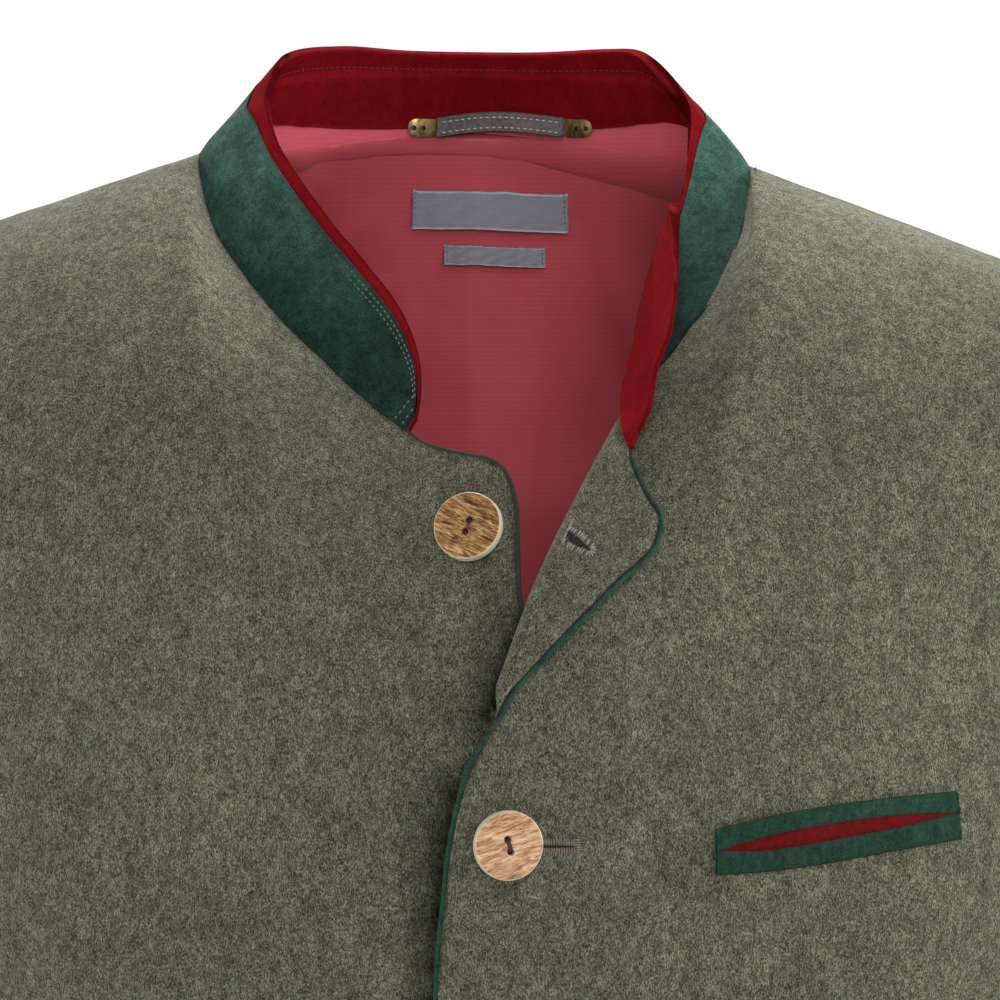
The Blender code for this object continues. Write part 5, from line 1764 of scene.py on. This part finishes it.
def button_mesh(name, place, turn, holes_turn, streak_move):
    """A bevelled horn disc with two thread holes and a worn groove between them."""
    bm = bmesh.new()
    bmesh.ops.create_grid(bm, x_segments=BUTTON_GRID[0], y_segments=BUTTON_GRID[1], size=0.5)
    flat = bm.loops.layers.uv.new("flat")
    rim = bm.verts.layers.float.new("rim")
    hole_shade = bm.verts.layers.float.new("hole_shade")
    across = BUTTON_HOLE_APART / 2 * np.array((math.sin(holes_turn), math.cos(holes_turn)))
    for vert in bm.verts:
        angle = 2 * math.pi * (vert.co.x + 0.5)
        r, z, pale = spline(BUTTON_PROFILE, vert.co.y + 0.5)
        r *= (1 + BUTTON_UNEVEN[0] * math.sin(2 * angle + turn)
              + BUTTON_UNEVEN[1] * math.sin(3 * angle))
        x, y = r * math.cos(angle), r * math.sin(angle)
        vert[rim] = float(np.clip(pale, 0, 1))
        top = 1 - float(ease((vert.co.y + 0.5 - BUTTON_TOP_SHARE) / BUTTON_TOP_FADE))
        depth = 0.0
        for sign in (-1, 1):
            near = math.hypot(x - sign * across[0], y - sign * across[1]) / BUTTON_HOLE_R
            depth = max(depth, faded(near, BUTTON_HOLE_WALL))
        along = (x * across[0] + y * across[1]) / (BUTTON_HOLE_APART / 2)
        off = abs(x * across[1] - y * across[0]) / (BUTTON_HOLE_APART / 2)
        groove = faded(off, GROOVE_ACROSS) * faded(abs(along), GROOVE_ALONG)
        z -= top * (BUTTON_HOLE_DEPTH * depth + BUTTON_GROOVE * groove * (1 - depth))
        # Painted shade: how far the holes and the groove are darkened in the colour.
        vert[hole_shade] = top * max(depth, GROOVE_SHADE * groove)
        vert.co = (x, y, z)
    for face in bm.faces:
        for loop in face.loops:
            x, y, z = loop.vert.co
            c, s = math.cos(turn), math.sin(turn)
            loop[flat].uv = (x * c - y * s + streak_move, x * s + y * c + z)
    bmesh.ops.remove_doubles(bm, verts=bm.verts, dist=1e-7)
    bmesh.ops.transform(bm, matrix=place, verts=bm.verts)
    return mesh_of(bm, name)


def make_buttons(settings):
    dark, light = horn("horn_dark", DARK_HORN), horn("horn", LIGHT_HORN)
    brown = thread("button_thread", (0.020, 0.013, 0.008), (0.055, 0.038, 0.024))
    for count, (panel, x, z, turn, holes, lean, nod) in enumerate(BUTTONS, 1):
        lean, nod = (math.radians(value) * settings.button_tilt for value in (lean, nod))
        rise = (abs(math.sin(lean)) + abs(math.sin(nod))) * BUTTON_REST
        leaning = Matrix.Rotation(lean, 4, "Y") @ Matrix.Rotation(nod, 4, "X")
        place = facing(panel, x, z, 2 * GAP + 0.0002 + rise) @ leaning
        name = "button_%d" % count
        add_piece("horn_" + name, button_mesh("horn_" + name, place, math.radians(turn),
                                              math.radians(holes), STREAK_STEP * count),
                  dark if count == 1 else light, [name], "horn")
        if panel == "left":
            make_button_thread("thread_" + name, place, math.radians(holes), brown)


def make_button_thread(name, place, turn, finish):
    """Four strands that go down one hole and up the other."""
    along = np.array((math.sin(turn), math.cos(turn), 0)) * BUTTON_HOLE_APART / 2
    aside = unit(np.array((along[1], -along[0], 0)))
    f = np.linspace(-1, 1, 13)[None, :, None]
    strand = np.array(STRANDS)[:, None, None] * STRAND_GAP
    drop = STRAND_DROP * np.maximum(np.abs(f) - STRAND_TURN, 0) / (1 - STRAND_TURN)
    rise = BUTTON_T + STRAND_LIFT + STRAND_BOW * (1 - f * f) - drop
    over = np.clip(f * STRAND_OVER, -1, 1)
    local = along * over + aside * strand + np.array((0, 0, 1)) * rise
    turned = np.array(place.to_3x3())
    paths = local @ turned.T + np.array(place.translation)
    across = np.broadcast_to(aside @ turned.T, paths.shape)
    up = np.broadcast_to(np.array((0, 0, 1)) @ turned.T, paths.shape)
    add_piece(name, cords_mesh(name, paths, across, up, np.array(BUTTON_THREAD_R), 6), finish)


# ------------------------------------------------------------------ buttonholes
def cut_line(start, end):
    """A cut's length, its direction and the direction beside it."""
    run = np.subtract(end, start)
    length = np.linalg.norm(run)
    ahead = run / length
    return length, ahead, np.array((-ahead[1], ahead[0]))


def make_buttonhole(name, place, start, end, yarn, gap, reach, tack=None):
    """Close buttonhole stitches round a cut. place(x, z, out) gives points on the cloth."""
    start, end = np.array(start), np.array(end)
    length, ahead, aside = cut_line(start, end)
    rows = []
    count = int(length / BUTTONHOLE_PITCH)
    for side in (-1, 1):
        for i in range(count + 1):
            f = i / count
            lens = gap * math.sin(math.pi * min(max(f, 0.06), 0.94)) + 0.0002
            uneven_reach = reach * (0.92 + YARN_UNEVEN * abs(math.sin(i * 2.3 + side)))
            near = start + ahead * length * f + aside * side * lens
            rows.append((near, near + aside * side * uneven_reach))
    if tack:
        wide, high = tack
        for i in range(int(2 * high / BUTTONHOLE_PITCH)):
            spot = end + aside * (i * BUTTONHOLE_PITCH - high)
            rows.append((spot, spot + ahead * wide))
    else:
        for i in range(FAN_COUNT):
            turn = math.pi * (i / (FAN_COUNT - 1) - 0.5)
            way = ahead * math.cos(turn) + aside * math.sin(turn)
            rows.append((end + way * FAN_FROM, end + way * reach))
    rows = np.array(rows)
    a = place(rows[:, 0, 0], rows[:, 0, 1], 0.0002)
    b = place(rows[:, 1, 0], rows[:, 1, 1], 0.0001)
    normal = unit(place(rows[:, 0, 0], rows[:, 0, 1], 0.002) - a)
    stitches(name, list(zip(a, b, normal)), YARN_R, yarn, sink=0.2)


def make_slit(name, place, start, end, gap):
    """The cut inside a buttonhole, as a thin near-black lens lying in the cloth: painted shadow
    where the cut would be dark.
    """
    length, ahead, aside = cut_line(start, end)
    bm = bmesh.new()
    doubled_grid(bm, *SLIT_GRID)
    grid = np.array([v.co for v in bm.verts])
    f = grid[:, 0] + 0.5
    wide = gap * np.sin(math.pi * np.clip(f, 0.03, 0.97)) + 0.0001
    flat = np.array(start) + ahead * length * f[:, None] + aside * (grid[:, 1] * 2 * wide)[:, None]
    points = place(flat[:, 0], flat[:, 1], SLIT_LIFT - SLIT_WALL * grid[:, 2])
    for vert, point in zip(bm.verts, points):
        vert.co = point
    add_piece(name, mesh_of(bm, name, smooth=False), painted_slot_shadow())


def on_corner(x, z, out):
    """Points over the turned corner at an x and a height."""
    x, z = np.broadcast_arrays(np.asarray(x, float), np.asarray(z, float))
    fine = np.linspace(0, 1, 201)
    roll, inward = corner_line(fine, 0)
    edge, off = corner_line(fine, 2)
    start, end = roll + inward * ROLL_R, edge - off * CORD_OUT
    where = np.stack([x, z], -1)
    span = end - start
    local = where[..., None, :] - start
    across = np.sum(local * span, -1) / np.sum(span * span, -1)
    miss = np.linalg.norm(local - across[..., None] * span, axis=-1)
    best = np.argmin(miss, -1)
    at = np.take_along_axis(across, best[..., None], -1)[..., 0]
    return corner_point(np.clip(at, 0.0, 1.0), fine[best], -np.asarray(out, float))


def make_buttonholes(settings):
    yarn = thread("buttonhole_thread", (0.155, 0.125, 0.115), (0.36, 0.31, 0.28))
    make_buttonhole("buttonhole_1", on_corner, *OPEN_BUTTONHOLE, yarn, *OPEN_HOLE)
    make_slit("buttonhole_slit_1", on_corner, *OPEN_BUTTONHOLE, OPEN_SLIT)
    dark = thread("buttonhole_thread_dark", (0.075, 0.058, 0.050), (0.30, 0.25, 0.22))

    def over_front(x, z, out):
        return on_front("left", x, z, out)
    for count, (_, x, z, *_) in enumerate(BUTTONS[1:], 2):
        start = (x - CLOSED_HOLE_START, z - CLOSED_HOLE_DROP)
        end = (x + BUTTONHOLE_REACH, z - CLOSED_HOLE_DROP)
        make_buttonhole("buttonhole_%d" % count, over_front, start, end, dark, *CLOSED_HOLE,
                        BAR_TACK)
        make_slit("buttonhole_slit_%d" % count, over_front, start, end, CLOSED_SLIT)


# ------------------------------------------------------------------ pocket
def make_pocket(settings):
    length = POCKET_END - POCKET_START
    margin = INSET_MARGIN / length
    strips = (
        ("felt_welt_upper", welt_felt(), 0, 1, 0.0, 1.0, "welt_upper", "green_felt", 0.0),
        ("felt_welt_lower", welt_felt(), 2, 3, 0.0, 1.0, "welt_lower", "green_felt", 0.0),
        ("felt_pocket_inset", shaded_pocket_felt(), 1, 2, margin, 1 - margin, "pocket_inset", "red_felt",
         INSET_SUNK),
    )
    for name, finish, upper, lower, start, end, node, slot, sunk in strips:
        def place(u, v, depth, upper=upper, lower=lower, start=start, end=end, sunk=sunk):
            x = POCKET_START + length * (start + (end - start) * u)
            row = spline(POCKET, x)
            z = row[..., lower] + (row[..., upper] - row[..., lower]) * v
            crown = WELT_CROWN * (1 - (2 * v - 1) ** 2)
            return on_front("left", x, z, GAP + WELT_WALL + crown - sunk - depth)
        size = (length * (end - start), CUTS[node])
        cloth(name, place, WELT_GRID, WELT_WALL, size, finish, [node], slot, held="laid",
              soft=WELT_SOFT)


# ------------------------------------------------------------------ labels and hanger
def make_labels(settings):
    finish = label_satin()
    ends = thread("label_thread", (0.10, 0.10, 0.12), (0.24, 0.24, 0.27))
    rows = []
    for name, left, right, low, high, bump in LABELS:
        def place(u, v, depth, left=left, right=right, low=low, high=high, bump=bump):
            x = left + (right - left) * u
            top = high + bump * np.exp(-((u - LABEL_BUMP[0]) / LABEL_BUMP[1]) ** 2)
            z = low + (top - low) * v
            bow = LABEL_BOW * np.sin(math.pi * u) * (LABEL_BOW_LOW + (1 - LABEL_BOW_LOW) * v)
            return inside_back(x, z, depth + bow + LABEL_WAVE * ripple(u * 0.3, v * 0.05, 2.0))
        size = (right - left, high - low)
        cloth("satin_" + name, place, LABEL_GRID, RIBBON_WALL, size, finish, [name], "label_satin",
              held="laid", soft=LABEL_SOFT)
        for x in (left + LABEL_SEWING, right - LABEL_SEWING):
            count = max(int((high - low) / LABEL_SEWING_PITCH), 4)
            z = np.linspace(low + 0.001, high - 0.001, count)
            a = inside_back(x, z, 0.0004)
            b = inside_back(x, z + LABEL_STITCH, 0.0004)
            normal = unit(inside_back(x, z, 0.0014) - a)
            rows += list(zip(a, b, normal))
    stitches("label_stitches", rows, LABEL_THREAD_R, ends)


def collar_inside(share, height, out):
    """Points on the wearer's side of the inner collar."""
    return collar_point(share, height, 2 * FELT + GAP + out)


def make_tab(name, share, height, side, finish, yarn, node):
    """A brass plate with a round outer end and two sewing holes, the holes drawn as thin dark discs
    of painted shadow.
    """
    share = np.array(share)
    middle = collar_inside(share, height, TAB_SIZE[1] / 2 + 0.0003)
    away = Vector(-collar_out(share, height))
    aside = Vector((0, 0, 1)).cross(away).normalized()
    up = away.cross(aside)
    turned = Matrix((aside, away, up)).transposed().to_4x4()
    place = Matrix.Translation(Vector(middle)) @ turned
    bm = bmesh.new()
    bmesh.ops.create_cube(bm, size=1.0, matrix=Matrix.Diagonal((*TAB_SIZE, 1)))
    upright = [e for e in bm.edges if abs(e.verts[0].co.y - e.verts[1].co.y) > 1e-6]
    outer = [e for e in upright if e.verts[0].co.x * side > 0]
    bmesh.ops.bevel(bm, geom=outer, offset=TAB_ROUND, segments=8, profile=0.5, affect="EDGES",
                    material=-1)
    rims = [e for e in bm.edges if e.is_manifold and e.calc_face_angle(0) > 1.0]
    bmesh.ops.bevel(bm, geom=rims, offset=TAB_BEVEL, segments=2, profile=0.5, affect="EDGES",
                    material=-1)
    bmesh.ops.transform(bm, matrix=place, verts=bm.verts)
    for vert in bm.verts:
        vert.co = settle(np.array(vert.co))
    mesh = mesh_of(bm, name, turn=False)
    mesh.set_sharp_from_angle(angle=TAB_SHARP)
    add_piece(name, mesh, finish, [node], "brass")
    holes = bmesh.new()
    rows = []
    for spot in TAB_HOLES:
        where = Matrix.Translation((side * spot, TAB_SIZE[1] / 2, 0))
        level = Matrix.Rotation(math.pi / 2, 4, "X")
        bmesh.ops.create_cone(holes, cap_ends=True, segments=24, radius1=TAB_HOLE_R,
                              radius2=TAB_HOLE_R, depth=TAB_HOLE_DEPTH, matrix=place @ where @ level)
        for strand in (-1, 0, 1):
            up = strand * TAB_STRAND_GAP
            a = place @ Vector((side * spot, TAB_SIZE[1] / 2, up))
            b = place @ Vector((side * (spot + TAB_HOLE_R * 1.5), TAB_SIZE[1] / 2, up))
            rows.append((settle(np.array(a)), settle(np.array(b)), tuple(away)))
    for vert in holes.verts:
        vert.co = settle(np.array(vert.co))
    mesh = bpy.data.meshes.new(name + "_holes")
    holes.to_mesh(mesh)
    holes.free()
    add_piece(name + "_holes", mesh, painted_slot_shadow())
    stitches(name + "_stitches", rows, TAB_THREAD_R, yarn)


def strap_point(u, v, depth):
    first, last = TAB_SHARES
    share = first + TAB_INSET + (last - first - 2 * TAB_INSET) * u
    bow = np.sin(math.pi * u)
    out = 4 * GAP + STRAP_WALL - depth + STRAP_BOW * bow
    height = TAB_HEIGHTS[0] + (TAB_HEIGHTS[1] - TAB_HEIGHTS[0]) * u
    point = settle(collar_inside(share, height, out))
    point[..., 2] += STRAP_HEIGHT * (v - 0.5) + STRAP_RISE * bow
    return point


def make_hanger(settings):
    metal = brass()
    dark = thread("tab_thread", (0.05, 0.04, 0.03), (0.15, 0.12, 0.09))
    for side, sign, share, height in zip(("right", "left"), (-1, 1), TAB_SHARES, TAB_HEIGHTS):
        make_tab("brass_tab_" + side, share, height, sign, metal, dark, "hanger_tab_" + side)
    strap = shell_mesh("strap_loop", strap_point, *STRAP_GRID, STRAP_WALL, soft=STRAP_SOFT)
    add_piece("strap_loop", strap, strap_leather(), ["hanger_strap"], "strap")
    white = thread("strap_thread", (0.42, 0.40, 0.38), (0.72, 0.70, 0.68))
    rows = []
    for height in STRAP_SEWING:
        def line(share, out, height=height):
            return strap_point(share, height + 0 * share, -out)
        rows += stitch_row(line, 0.03, 0.97, *STRAP_STITCH, 0.0)
    stitches("strap_stitches", rows, YARN_R, white, sink=0.1)


# ------------------------------------------------------------------ sewing
def make_sewing(settings):
    """Rows of sewing beside the collar's edge, the cords, the hem and the cuffs."""
    pitch, radius = settings.stitch_pitch, settings.stitch_radius
    grey = thread("edge_thread", (0.105, 0.095, 0.080), (0.24, 0.22, 0.19))
    rows = []

    def collar_line(height):
        def line(share, out):
            return settle(collar_point(share, height + 0 * share, -out))
        return line
    for height in COLLAR_SEWING:
        rows += stitch_row(collar_line(height), 0.012, 0.105, pitch, pitch * 0.5, 0.0)

    def end_line(inset):
        def line(share, out):
            return settle(collar_point(COLLAR_END + inset + 0 * share, share, -out))
        return line
    for inset in END_SEWING:
        rows += stitch_row(end_line(inset), 0.04, 0.94, pitch, pitch * 0.5, 0.0)

    def red_line(share, out):
        return settle(collar_point(share, RED_SEWING + 0 * share, 2 * FELT + out))
    stitches("collar_stitches", rows, radius, grey)
    wine = thread("collar_thread", (0.050, 0.006, 0.008), (0.13, 0.016, 0.02))
    stitches("collar_inner_stitches",
             stitch_row(red_line, 0.30, 0.70, pitch, pitch * 0.6, 0.0), radius, wine)

    rows = []

    def beside_corner(share, out):
        roll, inward = corner_line(share, 0)
        edge, off = corner_line(share, 2)
        wide = np.linalg.norm(edge - off * CORD_OUT - roll - inward * ROLL_R, axis=-1)
        return corner_point(1 - EDGE_SEWING / wide, share, -out)
    rows += stitch_row(beside_corner, 0.93, 0.20, pitch, pitch * 0.5, 0.0)

    for panel, start in (("right", 0.985), ("left", 0.60)):
        def line(share, out, panel=panel):
            return front_point(panel, FRONT_SEWING + 0 * share, share, out)
        rows += stitch_row(line, start, 0.0, pitch * 1.3, pitch * 0.6, 0.0)
    stitches("front_stitches", rows, radius, grey)

    wool = thread("hem_thread", (0.060, 0.060, 0.045), (0.13, 0.13, 0.10))
    rows = []
    for side in ("right", "left"):
        def hem(share, out, side=side):
            return front_point(side, share, HEM_STITCH + 0 * share, out)
        rows += stitch_row(hem, 0.02, 0.99, *HEM_SEWING, 0.0)

    def back_hem(share, out):
        return back_point(share, HEM_STITCH + 0 * share, -out)
    rows += stitch_row(back_hem, 0.005, 0.995, *HEM_SEWING, 0.0)
    for side in ("right", "left"):
        def cuff(share, out, side=side):
            return sleeve_point(side, 2 * math.pi * share, CUFF_STITCH + 0 * share, -out)
        rows += stitch_row(cuff, 0.0, 0.998, *HEM_SEWING, 0.0)
    stitches("hem_stitches", rows, HEM_THREAD_R, wool)


# ------------------------------------------------------------------ stage
def area_light(name, place, target, size, power):
    light = bpy.data.lights.new(name, "AREA")
    light.shape = "DISK"
    light.size = size
    light.energy = power
    piece = bpy.data.objects.new(name, light)
    bpy.context.scene.collection.objects.link(piece)
    piece.location = place
    way = Vector(target) - Vector(place)
    piece.rotation_euler = way.to_track_quat("-Z", "Y").to_euler()
    return piece


def make_world(strength):
    """White behind the jacket, with a weaker even light from all around."""
    world = bpy.data.worlds.new("studio")
    world.use_nodes = True
    tree = world.node_tree
    tree.nodes.clear()
    seen = tree.nodes.new("ShaderNodeLightPath")
    level = tree.nodes.new("ShaderNodeMix")
    level.inputs[2].default_value = strength
    level.inputs[3].default_value = 1.0
    tree.links.new(seen.outputs["Is Camera Ray"], level.inputs[0])
    glow = tree.nodes.new("ShaderNodeBackground")
    glow.inputs["Color"].default_value = (1.0, 1.0, 1.0, 1.0)
    tree.links.new(level.outputs[0], glow.inputs["Strength"])
    output = tree.nodes.new("ShaderNodeOutputWorld")
    tree.links.new(glow.outputs[0], output.inputs["Surface"])
    bpy.context.scene.world = world


def make_stage(settings):
    scene = bpy.context.scene
    scene.view_settings.view_transform = "Standard"
    make_world(settings.ambient)
    bm = bmesh.new()
    bmesh.ops.create_grid(bm, x_segments=1, y_segments=1, size=FLOOR_REACH)
    bmesh.ops.translate(bm, vec=(0, 0, FLOOR_Z), verts=bm.verts)
    mesh = bpy.data.meshes.new("floor")
    bm.to_mesh(mesh)
    bm.free()
    floor = bpy.data.objects.new("floor", mesh)
    scene.collection.objects.link(floor)
    mesh.materials.append(floor_paper())
    for name, place, size, share in LIGHTS:
        area_light(name, place, LIGHTS_AIM, size, share * settings.light_power)
    camera = bpy.data.cameras.new("camera")
    camera.lens = LENS
    camera.sensor_width = SENSOR
    camera.clip_start = 0.1
    camera.clip_end = 30.0
    seat = bpy.data.objects.new("camera", camera)
    scene.collection.objects.link(seat)
    seat.location = CAMERA_PLACE
    seat.rotation_euler = (math.radians(90), 0, 0)
    scene.camera = seat


# ------------------------------------------------------------------ add-on
class JacketSettings(bpy.types.PropertyGroup):
    lining_slack: FloatProperty(
        name="Lining slack", description="How much the lining wrinkles", default=1.0, min=0.0,
        max=2.0, subtype="FACTOR")
    button_tilt: FloatProperty(
        name="Button tilt", description="How far the buttons lean on their shanks", default=1.0,
        min=0.0, max=1.5, subtype="FACTOR")
    stitch_pitch: FloatProperty(
        name="Stitch pitch", description="Length of one stitch and its gap", default=0.0022,
        unit="LENGTH", subtype="DISTANCE")
    stitch_radius: FloatProperty(
        name="Thread radius", description="Half the width of a sewing thread", default=0.00024,
        unit="LENGTH", subtype="DISTANCE")
    ambient: FloatProperty(
        name="Ambient light", description="Even light from all around", default=0.12, min=0.0)
    light_power: FloatProperty(
        name="Light", description="Power of the front light, which the others follow",
        default=18.0, min=0.0, unit="POWER")


def settings_of(context):
    return context.scene.jacket_settings


class JACKET_OT_fronts(bpy.types.Operator):
    """Make the right and left loden fronts"""
    bl_idname = "jacket.fronts"
    bl_label = "Fronts"

    def execute(self, context):
        make_fronts(settings_of(context))
        return {"FINISHED"}


class JACKET_OT_corner(bpy.types.Operator):
    """Turn the top of the left front back over its roll"""
    bl_idname = "jacket.corner"
    bl_label = "Turned corner"

    def execute(self, context):
        make_corner(settings_of(context))
        return {"FINISHED"}


class JACKET_OT_back(bpy.types.Operator):
    """Make the loden back and its satin lining"""
    bl_idname = "jacket.back"
    bl_label = "Back and lining"

    def execute(self, context):
        make_back(settings_of(context))
        make_lining(settings_of(context))
        return {"FINISHED"}


class JACKET_OT_sleeves(bpy.types.Operator):
    """Make the two sleeves and their armhole seams"""
    bl_idname = "jacket.sleeves"
    bl_label = "Sleeves"

    def execute(self, context):
        make_sleeves(settings_of(context))
        return {"FINISHED"}


class JACKET_OT_collar(bpy.types.Operator):
    """Make the green outer and red inner collar"""
    bl_idname = "jacket.collar"
    bl_label = "Collar"

    def execute(self, context):
        make_collar(settings_of(context))
        return {"FINISHED"}


class JACKET_OT_piping(bpy.types.Operator):
    """Lay the felt cords along the front edges"""
    bl_idname = "jacket.piping"
    bl_label = "Piping"

    def execute(self, context):
        make_piping(settings_of(context))
        return {"FINISHED"}


class JACKET_OT_buttons(bpy.types.Operator):
    """Make the horn buttons and sew them on"""
    bl_idname = "jacket.buttons"
    bl_label = "Buttons"

    def execute(self, context):
        make_buttons(settings_of(context))
        make_buttonholes(settings_of(context))
        return {"FINISHED"}


class JACKET_OT_pocket(bpy.types.Operator):
    """Make the breast pocket's welts and inset"""
    bl_idname = "jacket.pocket"
    bl_label = "Breast pocket"

    def execute(self, context):
        make_pocket(settings_of(context))
        return {"FINISHED"}


class JACKET_OT_inside(bpy.types.Operator):
    """Make the blank labels and the hanging loop"""
    bl_idname = "jacket.inside"
    bl_label = "Labels and loop"

    def execute(self, context):
        make_labels(settings_of(context))
        make_hanger(settings_of(context))
        return {"FINISHED"}


class JACKET_OT_sewing(bpy.types.Operator):
    """Sew the rows along the collar, fronts, hem and cuffs"""
    bl_idname = "jacket.sewing"
    bl_label = "Sewing"

    def execute(self, context):
        make_sewing(settings_of(context))
        return {"FINISHED"}


class JACKET_OT_stage(bpy.types.Operator):
    """Set the floor, lights and camera"""
    bl_idname = "jacket.stage"
    bl_label = "Stage"

    def execute(self, context):
        make_stage(settings_of(context))
        return {"FINISHED"}


OPERATORS = (JACKET_OT_stage, JACKET_OT_fronts, JACKET_OT_corner, JACKET_OT_back,
             JACKET_OT_sleeves, JACKET_OT_collar, JACKET_OT_piping, JACKET_OT_buttons,
             JACKET_OT_pocket, JACKET_OT_inside, JACKET_OT_sewing)


class JACKET_PT_panel(bpy.types.Panel):
    bl_idname = "JACKET_PT_panel"
    bl_label = "Loden Jacket"
    bl_space_type = "VIEW_3D"
    bl_region_type = "UI"
    bl_category = "Jacket"

    def draw(self, context):
        settings = settings_of(context)
        for name in settings.__annotations__:
            self.layout.prop(settings, name)
        for operator in OPERATORS:
            self.layout.operator(operator.bl_idname)


CLASSES = (JacketSettings, *OPERATORS, JACKET_PT_panel)


def register():
    for made in CLASSES:
        bpy.utils.register_class(made)
    bpy.types.Scene.jacket_settings = PointerProperty(type=JacketSettings)


def unregister():
    del bpy.types.Scene.jacket_settings
    for made in reversed(CLASSES):
        bpy.utils.unregister_class(made)


def main():
    register()
    for operator in OPERATORS:
        getattr(bpy.ops.jacket, operator.bl_idname.split(".")[1])()


if __name__ == "__main__":
    main()
